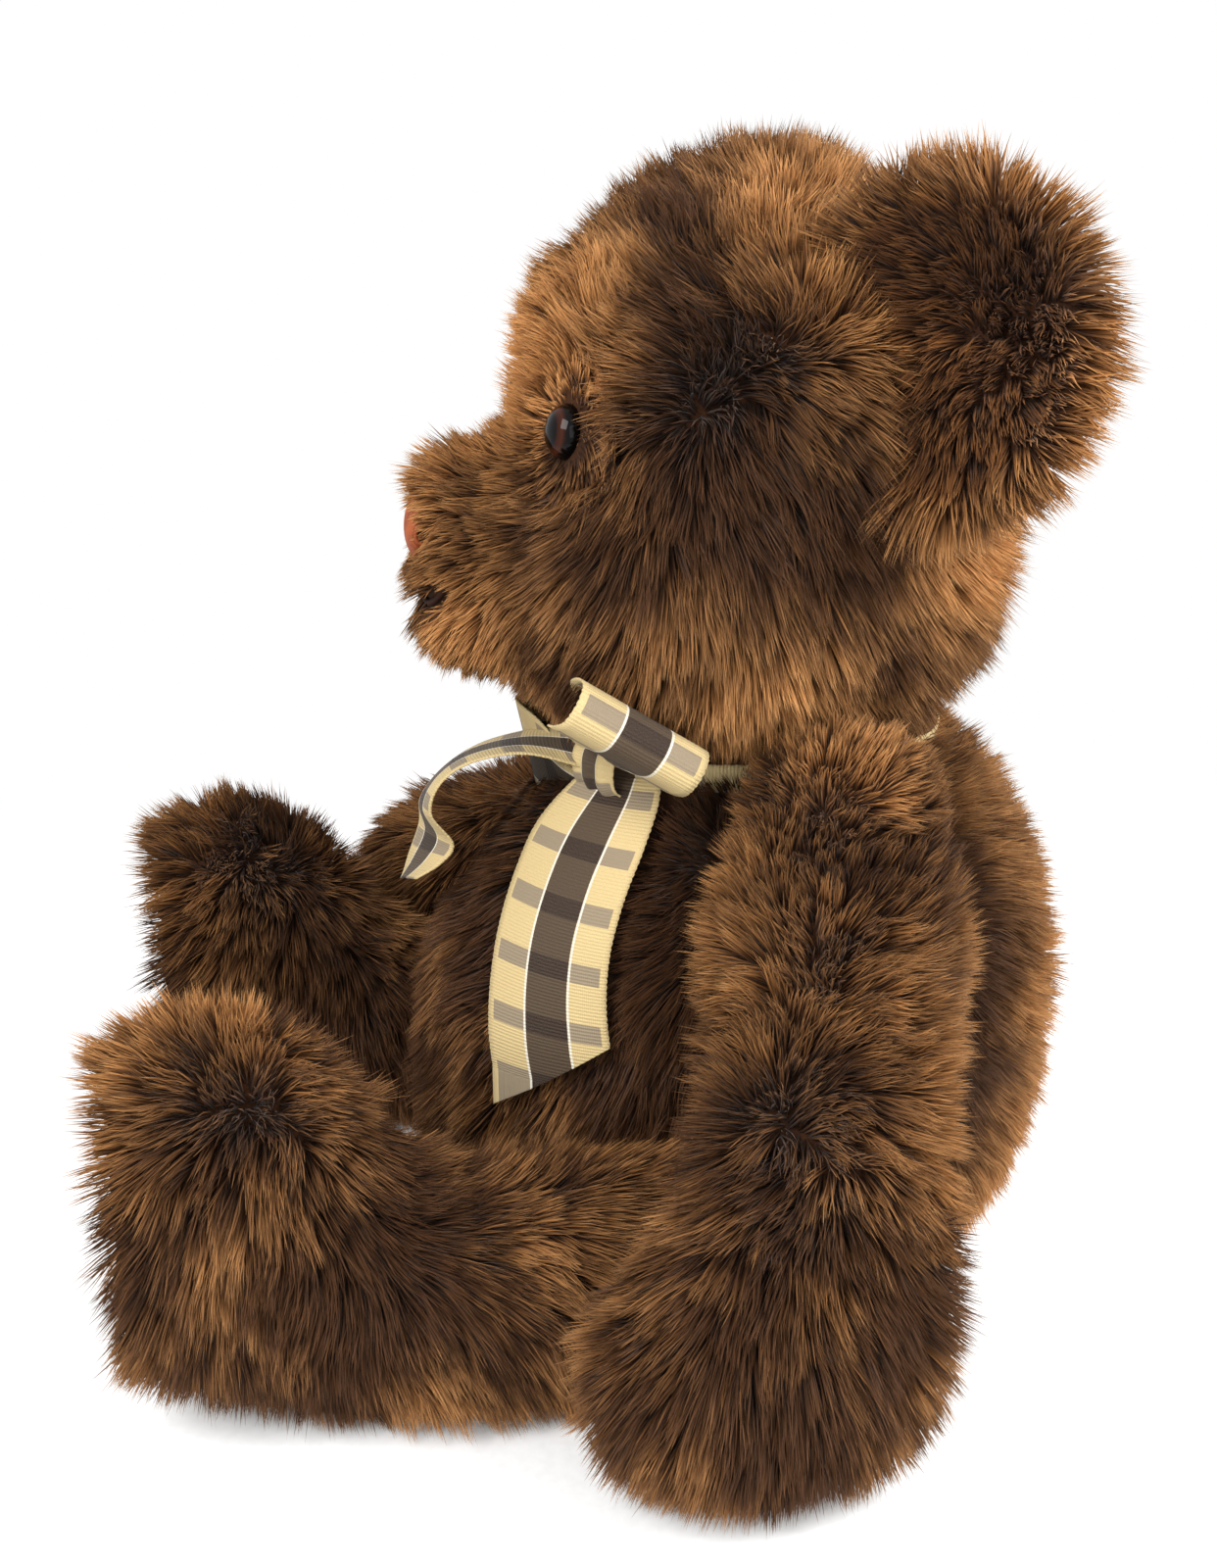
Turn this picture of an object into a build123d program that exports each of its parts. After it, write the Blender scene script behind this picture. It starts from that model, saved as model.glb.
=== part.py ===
"""A jointed plush teddy bear, sitting, with a ribbon bow at its throat.

Frame: +Z up, the bear faces -Y and its own left side is +X.  The origin is the middle of the seat, on
the floor.  The head and each limb turn on a disc joint: a hardboard disc inside the limb and another
inside the torso, drawn together through the cloth by a bolt, washers and a lock nut.
"""
from math import cos, radians, sin
import os

from build123d import *

os.makedirs("parts", exist_ok=True)

# Cloth, filling and clearances
cover_thickness = 2.4
filling_clearance = 0.2
joint_gap = 0.6
seat_clearance = 0.2
seam_gap = 0.1
running_clearance = 0.08
pocket_clearance = 0.5

# Torso rings: height, centre along Y, half width, half depth
torso_rings = [
    (0.0, 0.0, 32.0, 50.0),
    (4.0, 0.0, 37.5, 61.0),
    (14.0, 0.5, 41.5, 70.5),
    (34.0, 0.5, 43.0, 76.0),
    (56.0, 0.5, 50.0, 76.5),
    (76.0, 0.5, 54.5, 74.5),
    (96.0, 2.5, 53.0, 68.0),
    (114.0, 4.0, 47.0, 59.0),
    (128.0, 2.5, 36.0, 49.0),
    (136.0, 1.0, 28.5, 42.0),
    (138.7, 0.5, 26.0, 38.0),
]
torso_height = torso_rings[-1][0]

# Head rings, from the muzzle to the back: Y, centre height, half width, half height
head_rings = [
    (-77.0, 182.5, 7.0, 8.0),
    (-75.0, 182.0, 13.0, 15.0),
    (-68.5, 181.0, 19.5, 21.0),
    (-59.5, 180.5, 23.5, 23.5),
    (-52.5, 181.5, 28.0, 27.5),
    (-47.0, 188.0, 35.5, 39.0),
    (-38.0, 194.0, 43.5, 50.0),
    (-20.0, 198.0, 51.5, 60.5),
    (0.0, 200.0, 54.5, 65.0),
    (20.0, 199.0, 52.5, 62.0),
    (36.0, 196.5, 44.5, 50.5),
    (46.5, 193.0, 31.0, 33.0),
    (50.0, 192.0, 17.0, 17.0),
]
gusset_width = 26.0
gusset_nose_height = 178.0
gusset_nape_height = 168.0

# Ears
ear_radius = 31.0
ear_cup_depth = 6.0
ear_rim_thickness = 2.4
ear_panel_thickness = 5.0
ear_halfway_share = 0.25
ear_centre = (52.0, 29.0, 233.0)
ear_facing = (0.62, -0.77, 0.12)

# Eyes and nose
eye_radius = 6.0
eye_height = 4.4
eye_seat_depth = 0.8
eye_shank_radius = 1.6
eye_shank_length = 7.0
eye_place = (27.5, 214.0)
eye_washer_radius = 6.0
eye_washer_thickness = 1.2
eye_washer_sink = 1.8
nose_width = 19.0
nose_height = 13.0
nose_depth = 5.0
nose_top_share = 0.35
nose_corner_radius = 3.2
nose_edge_radius = 1.6
nose_stock = 8.0
nose_level = 189.0

# Arm rings, down from the shoulder: distance, forward, outward, half depth, half thickness
arm_rings = [
    (-32.0, 0.0, 15.0, 7.0, 7.0),
    (-29.0, 0.0, 14.5, 13.0, 12.0),
    (-20.0, 0.0, 13.5, 18.5, 17.5),
    (-4.0, 0.0, 13.5, 21.5, 20.5),
    (16.0, 0.0, 15.0, 21.5, 20.0),
    (38.0, 1.0, 20.5, 19.5, 18.0),
    (60.0, 4.0, 29.0, 21.5, 18.5),
    (80.0, 9.0, 35.5, 28.0, 20.5),
    (97.0, 12.5, 38.5, 32.0, 21.5),
    (114.0, 13.5, 39.5, 29.0, 19.5),
    (125.0, 13.0, 39.5, 20.0, 14.5),
    (129.0, 12.5, 39.5, 9.0, 8.0),
]
shoulder_place = (42.9, 10.0, 112.0)
shoulder_tilt = 20.0
arm_swings = {"left": 8.0, "right": 34.0}
paw_pad_length = 42.0
paw_pad_width = 34.0
paw_pad_distance = 97.0
paw_pad_forward = 12.0

# Leg rings, forward from the hip: distance, upward, outward, half height, half thickness
leg_rings = [
    (-26.0, 0.0, 15.0, 8.0, 8.0),
    (-23.0, 0.0, 15.5, 14.5, 13.0),
    (-15.0, 0.0, 16.0, 21.5, 20.0),
    (0.0, 0.0, 17.0, 25.5, 24.0),
    (24.0, 0.0, 22.0, 25.5, 21.5),
    (52.0, 0.0, 25.5, 25.5, 19.5),
    (84.0, 1.5, 25.5, 27.0, 18.5),
    (104.0, 12.0, 25.5, 36.5, 18.5),
    (120.0, 23.0, 25.5, 43.5, 18.5),
    (136.0, 27.0, 25.5, 42.0, 18.5),
    (147.0, 28.0, 25.5, 37.0, 17.5),
    (152.0, 28.0, 25.5, 32.5, 15.5),
]
hip_place = (38.0, 2.0, 26.0)
hip_recess_radius = 31.0
sole_reach = 10.0

# Joint hardware
disc_radii = {"neck": 18.0, "arm": 12.5, "leg": 16.0}
disc_thickness = 3.0
washer_radius = 8.0
washer_thickness = 1.2
bolt_radius = 3.0
bolt_head_width = 10.0
bolt_head_height = 4.0
nut_width = 10.0
nut_height = 5.0
bolt_tip_past_nut = 2.0

# Ribbon bow
ribbon_width = 32.0
ribbon_thickness = 0.9
ribbon_clearance = 0.4
neck_ribbon_height = 7.4
neck_ribbon_level = 134.2
knot_size = 14.0
knot_depth = 11.0
knot_corner_radius = 3.5
knot_edge_radius = 2.2
knot_back_depth = 5.5
loop_start_gap = 0.9
knot_angle = 31.0
knot_level = 135.5
loop_rings = [
    (0.0, 0.0, 0.0, 5.0, 4.0),
    (10.0, 0.0, 0.0, 10.5, 6.0),
    (23.0, 0.0, 0.0, 15.0, 6.5),
    (32.0, 0.0, 0.0, 16.0, 6.0),
    (36.0, 0.0, 0.0, 15.5, 3.5),
]
loop_directions = {"left": (0.97, 0.14, 0.20), "right": (-0.95, -0.30, 0.0)}
loop_slants = {"left": -34.0, "right": -78.0}
loop_lifts = {"left": 4.0, "right": -6.0}
tail_top = 129.0
chest_reach = 100.0
tail_angles = {"left": 51.0, "right": -5.0}
tail_offsets = {"left": -14.0, "right": -9.0}
tail_ends = {"left": (56.0, 78.0), "right": (95.0, 104.0)}

sides = {"left": 1, "right": -1}
whole = 400.0
bore_overrun = 10.0


def oval_loft(plane, rings, inset=0.0):
    """Loft a stuffed form through oval rings that stand square to the plane's axis.

    A ring is (distance, across, up, half width, half height).  The inset draws the whole form in,
    so the same rings give a cover's outside, its inside and the filling.
    """
    start, end = rings[0][0], rings[-1][0]
    middle = (start + end) / 2
    shrink = 1 - 2 * inset / (end - start)
    with BuildPart() as form:
        for distance, across, up, half_width, half_height in rings:
            with BuildSketch(plane.offset(middle + (distance - middle) * shrink)):
                with Locations((across, up)):
                    Ellipse(half_width - inset, half_height - inset)
        loft()
    return form.part


def post_on(plane, radius, bottom, top):
    """A plain cylinder square to the plane, between two heights over it."""
    with BuildPart() as post:
        with BuildSketch(plane.offset(bottom)):
            Circle(radius)
        extrude(amount=top - bottom)
    return post.part


def plate_on(plane, radius, bore, bottom, thickness):
    """A round plate with a bore, lying over the plane at the given height."""
    with BuildPart() as plate:
        with BuildSketch(plane.offset(bottom)):
            Circle(radius)
            Circle(bore, mode=Mode.SUBTRACT)
        extrude(amount=thickness)
    return plate.part


def hexagon_on(plane, width, bore, bottom, height):
    """A hexagon bar over the plane, such as a nut or a bolt head."""
    with BuildPart() as hexagon:
        with BuildSketch(plane.offset(bottom)):
            RegularPolygon(width / 2, 6, major_radius=False)
            if bore:
                Circle(bore, mode=Mode.SUBTRACT)
        extrude(amount=height)
    return hexagon.part


def save(piece, name):
    piece.label = name
    export_step(piece, f"parts/{name}.step")


# Joint planes lie midway in each joint's gap, with Z along the axis and away from the torso.
neck_joint = Plane(origin=(0, 0, torso_height + joint_gap / 2))


def shoulder_joint(side):
    x, y, z = shoulder_place
    axis = (side * cos(radians(shoulder_tilt)), 0, sin(radians(shoulder_tilt)))
    return Plane(origin=(side * x, y, z), x_dir=(0, 1, 0), z_dir=axis)


def hip_joint(side):
    x, y, z = hip_place
    return Plane(origin=(side * x, y, z), x_dir=(0, 1, 0), z_dir=(side, 0, 0))


joints = {"neck": neck_joint}
for side_name, side in sides.items():
    joints[f"arm_{side_name}"] = shoulder_joint(side)
    joints[f"leg_{side_name}"] = hip_joint(side)


def disc_radius(joint_name):
    return disc_radii[joint_name.split("_")[0]]


# Heights over a joint's plane of what is stacked on it, the same on both sides of the gap
disc_bottom = joint_gap / 2 + cover_thickness
washer_bottom = disc_bottom + disc_thickness
head_bottom = washer_bottom + washer_thickness + running_clearance
head_top = head_bottom + bolt_head_height
nut_bottom = washer_bottom + washer_thickness
bolt_tip = nut_bottom + nut_height + bolt_tip_past_nut
shaft_bore = bolt_radius + running_clearance
cloth_bore = bolt_radius + pocket_clearance


def hardware_pocket(plane, radius, stack_height):
    """The hollow that the discs, washers and bolt ends take up in the filling."""
    with BuildPart() as pocket:
        add(post_on(plane, radius + pocket_clearance, 0, washer_bottom + pocket_clearance))
        add(post_on(plane, washer_radius + pocket_clearance, 0, stack_height + pocket_clearance))
    return pocket.part


def reversed_plane(plane):
    """The same joint plane, looked at from the torso's side."""
    return Plane(origin=plane.origin, x_dir=plane.x_dir, z_dir=-plane.z_dir)


# Torso
def torso_loft(inset=0.0):
    rings = [(height, 0, centre, width, depth) for height, centre, width, depth in torso_rings]
    return oval_loft(Plane.XY, rings, inset)


def torso_form(inset=0.0):
    """The torso, flattened where the arms press on it and hollowed where the thighs sit."""
    face = joint_gap / 2 + inset
    with BuildPart() as form:
        add(torso_loft(inset))
        for side_name in sides:
            split(bisect_by=joints[f"arm_{side_name}"].offset(-face), keep=Keep.BOTTOM)
            add(
                post_on(joints[f"leg_{side_name}"], hip_recess_radius + inset, -face, whole),
                mode=Mode.SUBTRACT,
            )
    return form.part


torso_outside = torso_form()
torso_inside = torso_form(cover_thickness)
for side_name, side in sides.items():
    with BuildPart() as torso_cover:
        add(torso_outside)
        add(torso_inside, mode=Mode.SUBTRACT)
        for joint in joints.values():
            add(post_on(joint, cloth_bore, -disc_bottom - bore_overrun, 0), mode=Mode.SUBTRACT)
        split(bisect_by=Plane.YZ, keep=Keep.TOP if side > 0 else Keep.BOTTOM)
    save(torso_cover.part, f"torso_cover_{side_name}")

with BuildPart() as torso_filling:
    add(torso_form(cover_thickness + filling_clearance))
    for joint_name, joint in joints.items():
        pocket = hardware_pocket(reversed_plane(joint), disc_radius(joint_name), bolt_tip)
        add(pocket, mode=Mode.SUBTRACT)
save(torso_filling.part, "torso_filling")

for joint_name, joint in joints.items():
    inward = reversed_plane(joint)
    torso_disc = plate_on(inward, disc_radius(joint_name), shaft_bore, disc_bottom, disc_thickness)
    save(torso_disc, f"torso_disc_{joint_name}")

with BuildPart() as torso_washers:
    for joint in joints.values():
        add(plate_on(reversed_plane(joint), washer_radius, shaft_bore, washer_bottom, washer_thickness))
save(torso_washers.part, "torso_washers")

with BuildPart() as lock_nuts:
    for joint in joints.values():
        add(hexagon_on(reversed_plane(joint), nut_width, shaft_bore, nut_bottom, nut_height))
save(lock_nuts.part, "lock_nuts")

with BuildPart() as joint_bolts:
    for joint in joints.values():
        add(post_on(joint, bolt_radius, -bolt_tip, head_bottom))
        add(hexagon_on(joint, bolt_head_width, 0, head_bottom, bolt_head_height))
save(joint_bolts.part, "joint_bolts")


# Head
head_plane = Plane(origin=(0, 0, 0), x_dir=(-1, 0, 0), z_dir=(0, 1, 0))


def head_form(inset=0.0):
    """The head, flattened underneath where it turns on the neck."""
    rings = [(place, 0, height, width, rise) for place, height, width, rise in head_rings]
    with BuildPart() as form:
        add(oval_loft(head_plane, rings, inset))
        split(bisect_by=neck_joint.offset(joint_gap / 2 + inset), keep=Keep.TOP)
    return form.part


head_outside = head_form()
head_inside = head_form(cover_thickness)


def seat_on_head(x, z):
    """A plane on the head's surface, straight ahead of the point, with Z along the surface's normal."""
    point, normal = head_outside.find_intersection_points(Axis((x, -whole, z), (0, 1, 0)))[0]
    return Plane(origin=point, x_dir=(0, 0, 1), z_dir=normal)


eye_seats = {name: seat_on_head(side * eye_place[0], eye_place[1]) for name, side in sides.items()}
nose_seat = seat_on_head(0, nose_level)

# The gusset runs from the nose over the crown to the nape, between the two side panels.
with BuildPart() as gusset_region:
    with BuildSketch(Plane.YZ.offset(-gusset_width / 2)):
        with BuildLine():
            Polyline(
                (head_rings[0][0] - seat_clearance, gusset_nose_height),
                (head_rings[-1][0] + seat_clearance, gusset_nape_height),
                (head_rings[-1][0] + seat_clearance, whole),
                (head_rings[0][0] - seat_clearance, whole),
                close=True,
            )
        make_face()
    extrude(amount=gusset_width)


def eye_on(seat, growth=0.0):
    """A low glass dome sunk a little into the cloth, on a shank that goes through it."""
    rim = eye_radius + growth
    crown = eye_height + growth
    ball = (rim**2 + crown**2) / (2 * crown)
    with BuildPart() as eye:
        with Locations(seat.offset(crown - ball)):
            Sphere(ball)
        split(bisect_by=seat, keep=Keep.TOP)
        add(post_on(seat, rim, -eye_seat_depth, 0))
        add(post_on(seat, eye_shank_radius + growth, -eye_shank_length, -eye_seat_depth))
    return eye.part


with BuildPart() as nose:
    with BuildSketch(nose_seat.offset(-nose_depth)):
        with BuildLine():
            Polyline(
                (nose_height * nose_top_share, -nose_width / 2),
                (nose_height * nose_top_share, nose_width / 2),
                (-nose_height * (1 - nose_top_share), 0),
                close=True,
            )
        make_face()
        fillet(vertices(), nose_corner_radius)
    extrude(amount=nose_stock)
    fillet(nose.faces().sort_by(Axis(nose_seat.origin, nose_seat.z_dir))[-1].edges(), nose_edge_radius)
    add(head_outside, mode=Mode.SUBTRACT)
save(nose.part, "nose")

for side_name, seat in eye_seats.items():
    save(eye_on(seat), f"eye_{side_name}")

eye_washer_top = -cover_thickness - eye_washer_sink
with BuildPart() as eye_washers:
    for seat in eye_seats.values():
        washer_foot = eye_washer_top - eye_washer_thickness
        bore = eye_shank_radius + running_clearance
        add(plate_on(seat, eye_washer_radius, bore, washer_foot, eye_washer_thickness))
save(eye_washers.part, "eye_washers")

with BuildPart() as head_cover:
    add(head_outside)
    add(head_inside, mode=Mode.SUBTRACT)
    add(post_on(neck_joint, cloth_bore, 0, disc_bottom + seat_clearance), mode=Mode.SUBTRACT)
    for seat in eye_seats.values():
        add(eye_on(seat, seat_clearance), mode=Mode.SUBTRACT)

with BuildPart() as head_gusset:
    add(head_cover.part)
    add(gusset_region.part, mode=Mode.INTERSECT)
save(head_gusset.part, "head_gusset")

for side_name, side in sides.items():
    with BuildPart() as head_side:
        add(head_cover.part)
        add(gusset_region.part, mode=Mode.SUBTRACT)
        split(bisect_by=Plane.YZ, keep=Keep.TOP if side > 0 else Keep.BOTTOM)
    save(head_side.part, f"head_cover_{side_name}")

with BuildPart() as head_filling:
    add(head_form(cover_thickness + filling_clearance))
    add(hardware_pocket(neck_joint, disc_radii["neck"], head_top), mode=Mode.SUBTRACT)
    for seat in eye_seats.values():
        reach = eye_shank_length + pocket_clearance
        add(post_on(seat, eye_washer_radius + pocket_clearance, -reach, 0), mode=Mode.SUBTRACT)
save(head_filling.part, "head_filling")
save(plate_on(neck_joint, disc_radii["neck"], shaft_bore, disc_bottom, disc_thickness), "head_disc")
save(plate_on(neck_joint, washer_radius, shaft_bore, washer_bottom, washer_thickness), "head_washer")


# Ears: two dished panels, sewn rim to rim, that open forwards
def ear_panel(plane, back, front):
    """A dished round panel; each face is an arc, given by its height at the centre and at the rim."""
    with BuildPart() as panel:
        with BuildSketch(Plane(origin=plane.origin, x_dir=plane.x_dir, z_dir=-plane.y_dir)):
            with BuildLine():
                for centre, rim in (back, front):
                    halfway = centre + (rim - centre) * ear_halfway_share
                    ThreePointArc((0, centre), (ear_radius / 2, halfway), (ear_radius, rim))
                Line((0, back[0]), (0, front[0]))
                Line((ear_radius, back[1]), (ear_radius, front[1]))
            make_face()
        revolve(axis=Axis(plane.origin, plane.z_dir))
    return panel.part


ear_plane = Plane(origin=ear_centre, x_dir=(0, 0, 1), z_dir=ear_facing)
ear_seam = (0.0, ear_cup_depth)
ear_faces = {
    "front": (ear_seam, (ear_panel_thickness, ear_cup_depth + ear_rim_thickness)),
    "back": ((-ear_panel_thickness, ear_cup_depth - ear_rim_thickness), ear_seam),
}
for face_name, (back, front) in ear_faces.items():
    with BuildPart() as ear:
        add(ear_panel(ear_plane, back, front))
        add(head_form(-seam_gap), mode=Mode.SUBTRACT)
    ear_piece = ear.part.solids().sort_by(SortBy.VOLUME)[-1]
    save(Part() + ear_piece, f"ear_left_{face_name}")
    save(mirror(Part() + ear_piece, about=Plane.YZ), f"ear_right_{face_name}")


# Limbs
def save_limb(name, along, rings, pad_name, pad_plane, pad_place, pad_radii, pad_reach):
    """Save one limb's cover panels, pad or sole, filling, disc and washer.

    The rings run along the limb; across is outwards, and up is forwards on an arm, upwards on a leg.
    The pad is cut out of the cover by an oval that stands on its plane.
    """
    joint = joints[name]
    side = sides[name.split("_")[1]]
    outwards = joint.z_dir
    plane = Plane(origin=joint.origin, x_dir=outwards, z_dir=along)
    placed = [(far, out, side * up, thick, deep) for far, up, out, deep, thick in rings]

    def form(inset=0.0):
        with BuildPart() as limb:
            add(oval_loft(plane, placed, inset))
            split(bisect_by=joint.offset(joint_gap / 2 + inset), keep=Keep.TOP)
        return limb.part

    def pad_cutter(growth=0.0):
        with BuildPart() as cutter:
            with BuildSketch(pad_plane):
                with Locations(pad_place):
                    Ellipse(pad_radii[0] + growth, pad_radii[1] + growth)
            extrude(amount=pad_reach)
        return cutter.part

    with BuildPart() as cover:
        add(form())
        add(form(cover_thickness), mode=Mode.SUBTRACT)
        add(post_on(joint, cloth_bore, 0, disc_bottom + seat_clearance), mode=Mode.SUBTRACT)

    # The seam runs lengthwise, half way through the limb's thickness.
    start = joint.origin + along * rings[0][0] + outwards * rings[0][2]
    end = joint.origin + along * rings[-1][0] + outwards * rings[-1][2]
    seam = Plane(origin=start, x_dir=end - start, z_dir=(end - start).cross(plane.y_dir))
    if seam.z_dir.dot(outwards) < 0:
        seam = Plane(origin=start, x_dir=end - start, z_dir=-seam.z_dir)
    for panel_name, kept in (("outer", Keep.TOP), ("inner", Keep.BOTTOM)):
        with BuildPart() as panel:
            add(cover.part)
            split(bisect_by=seam, keep=kept)
            add(pad_cutter(seam_gap), mode=Mode.SUBTRACT)
        save(panel.part, f"{name}_{panel_name}")

    with BuildPart() as pad:
        add(cover.part)
        add(pad_cutter(), mode=Mode.INTERSECT)
    save(pad.part, f"{name}_{pad_name}")

    with BuildPart() as filling:
        add(form(cover_thickness + filling_clearance))
        add(hardware_pocket(joint, disc_radius(name), head_top), mode=Mode.SUBTRACT)
    save(filling.part, f"{name}_filling")
    save(plate_on(joint, disc_radius(name), shaft_bore, disc_bottom, disc_thickness), f"{name}_disc")
    save(plate_on(joint, washer_radius, shaft_bore, washer_bottom, washer_thickness), f"{name}_washer")


for side_name, side in sides.items():
    # An arm hangs along its tilted mating face and swings forwards in it.
    name = f"arm_{side_name}"
    joint = joints[name]
    swing = radians(arm_swings[side_name])
    down = Vector(side * sin(radians(shoulder_tilt)), 0, -cos(radians(shoulder_tilt)))
    along = down * cos(swing) + Vector(0, -1, 0) * sin(swing)
    pad_plane = Plane(origin=joint.origin, x_dir=along, z_dir=joint.z_dir)
    pad_place = (paw_pad_distance, -side * paw_pad_forward)
    pad_radii = (paw_pad_length / 2, paw_pad_width / 2)
    pad_plane = pad_plane.offset(joint_gap / 2)
    paw_middle = [out for far, up, out, deep, thick in arm_rings if far >= paw_pad_distance][0]
    save_limb(name, along, arm_rings, "paw_pad", pad_plane, pad_place, pad_radii, paw_middle)

    # A leg points straight ahead, and its sole closes its far end.
    name = f"leg_{side_name}"
    joint = joints[name]
    along = Vector(0, -1, 0)
    far, up, out, deep, thick = leg_rings[-1]
    sole_plane = Plane(origin=joint.origin, x_dir=joint.z_dir, z_dir=along)
    sole_plane = sole_plane.offset(far - cover_thickness - seat_clearance)
    sole_radii = (thick - cover_thickness, deep - cover_thickness)
    save_limb(name, along, leg_rings, "sole", sole_plane, (out, side * up), sole_radii, sole_reach)


# Ribbon bow
def bow_direction(angle):
    """A level direction, turned by an angle from straight ahead towards the bear's left."""
    return Vector(sin(radians(angle)), -cos(radians(angle)), 0)


with BuildPart() as neck_ribbon:
    add(torso_loft(-ribbon_clearance - ribbon_thickness))
    add(torso_loft(-ribbon_clearance), mode=Mode.SUBTRACT)
    split(bisect_by=Plane.XY.offset(neck_ribbon_level - neck_ribbon_height / 2), keep=Keep.TOP)
    split(bisect_by=Plane.XY.offset(neck_ribbon_level + neck_ribbon_height / 2), keep=Keep.BOTTOM)
save(neck_ribbon.part, "neck_ribbon")

# The knot is tied against the outside of the neck ribbon.
knot_direction = bow_direction(knot_angle)
around_ribbon = torso_loft(-ribbon_thickness - 2 * ribbon_clearance)
knot_ray = Axis((0, 0, neck_ribbon_level), knot_direction)
knot_seat = around_ribbon.find_intersection_points(knot_ray)[-1][0]
knot_middle = Vector(knot_seat.X, knot_seat.Y, knot_level) + knot_direction * (knot_depth / 2)
knot_plane = Plane(origin=knot_middle, x_dir=(0, 0, 1), z_dir=knot_direction)
with BuildPart() as bow_knot:
    with BuildSketch(knot_plane.offset(-knot_depth)):
        RectangleRounded(knot_size, knot_size, knot_corner_radius)
    extrude(amount=knot_depth + knot_back_depth)
    fillet(bow_knot.faces().sort_by(Axis(knot_middle, knot_direction))[-1].edges(), knot_edge_radius)
    add(around_ribbon, mode=Mode.SUBTRACT)
save(bow_knot.part, "bow_knot")

for side_name, side in sides.items():
    reach = Vector(*loop_directions[side_name]).normalized()
    level = Vector(0, 0, 1).cross(reach).normalized() * side
    rise = reach.cross(level) * side
    slant = radians(loop_slants[side_name])
    width_direction = level * cos(slant) + rise * sin(slant)
    knot_side = knot_size / 2 + ribbon_clearance
    loop_start = knot_middle + reach * (knot_side + loop_start_gap) + Vector(0, 0, loop_lifts[side_name])
    with BuildPart() as bow_loop:
        add(oval_loft(Plane(origin=loop_start, x_dir=width_direction, z_dir=reach), loop_rings))
        add(around_ribbon, mode=Mode.SUBTRACT)
        add(bow_knot.part, mode=Mode.SUBTRACT)
    save(bow_loop.part, f"bow_loop_{side_name}")

# The tails lie on the chest, each cut off at a slant.
for side_name in sides:
    direction = bow_direction(tail_angles[side_name])
    across = Vector(0, 0, 1).cross(direction)
    tail_plane = Plane(origin=(0, 0, 0), x_dir=across, z_dir=direction)
    near_edge = tail_offsets[side_name] - ribbon_width / 2
    far_edge = near_edge + ribbon_width
    front_end, back_end = tail_ends[side_name]
    with BuildPart() as tail_outline:
        with BuildSketch(tail_plane):
            with BuildLine():
                Polyline(
                    (near_edge, front_end),
                    (far_edge, back_end),
                    (far_edge, tail_top),
                    (near_edge, tail_top),
                    close=True,
                )
            make_face()
        extrude(amount=chest_reach)
    with BuildPart() as bow_tail:
        add(torso_loft(-ribbon_clearance - ribbon_thickness))
        add(torso_loft(-ribbon_clearance), mode=Mode.SUBTRACT)
        add(tail_outline.part, mode=Mode.INTERSECT)
    save(bow_tail.part, f"bow_tail_{side_name}")
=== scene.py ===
import math

import bpy
import numpy as np
from mathutils import Matrix, Vector
from mathutils.bvhtree import BVHTree


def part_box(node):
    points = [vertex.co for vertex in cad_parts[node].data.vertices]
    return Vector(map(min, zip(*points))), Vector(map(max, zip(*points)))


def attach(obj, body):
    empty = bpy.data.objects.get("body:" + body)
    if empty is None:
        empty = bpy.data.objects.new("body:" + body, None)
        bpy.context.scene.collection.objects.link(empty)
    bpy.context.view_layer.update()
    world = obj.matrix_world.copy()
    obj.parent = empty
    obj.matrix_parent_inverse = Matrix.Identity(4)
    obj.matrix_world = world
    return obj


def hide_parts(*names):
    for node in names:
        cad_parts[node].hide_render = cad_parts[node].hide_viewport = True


# A sitting plush bear with five disc joints and a woven ribbon bow.
# Lengths are millimetres, unless they are multiplied by mm.

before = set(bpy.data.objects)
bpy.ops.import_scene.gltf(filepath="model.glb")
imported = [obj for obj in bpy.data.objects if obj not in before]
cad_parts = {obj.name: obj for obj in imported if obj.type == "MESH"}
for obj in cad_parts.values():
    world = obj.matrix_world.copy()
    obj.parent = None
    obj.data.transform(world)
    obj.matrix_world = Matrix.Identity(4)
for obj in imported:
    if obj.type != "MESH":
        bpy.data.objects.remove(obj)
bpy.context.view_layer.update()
scene = bpy.context.scene
mm = 0.001
sides = {"left": 1, "right": -1}


# -------- node writing
def operator(operation, swapped=False):
    # a method that adds one Math node
    def method(self, *values):
        inputs = (*values, self) if swapped else (self, *values)
        return self.graph.node("ShaderNodeMath", {"operation": operation}, dict(enumerate(inputs)))

    return method


class Wire:
    # one output socket, which can be calculated with
    def __init__(self, graph, socket):
        self.graph, self.socket = graph, socket

    __add__ = __radd__ = operator("ADD")
    __mul__ = __rmul__ = operator("MULTIPLY")
    __sub__, __rsub__ = operator("SUBTRACT"), operator("SUBTRACT", swapped=True)
    __truediv__, __rtruediv__ = operator("DIVIDE"), operator("DIVIDE", swapped=True)
    __pow__ = operator("POWER")
    abs, sine = operator("ABSOLUTE"), operator("SINE")
    over, under = operator("GREATER_THAN"), operator("LESS_THAN")
    low, high = operator("MINIMUM"), operator("MAXIMUM")

    def other(self, name):
        # another output of the same node
        return Wire(self.graph, self.socket.node.outputs[name])


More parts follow.
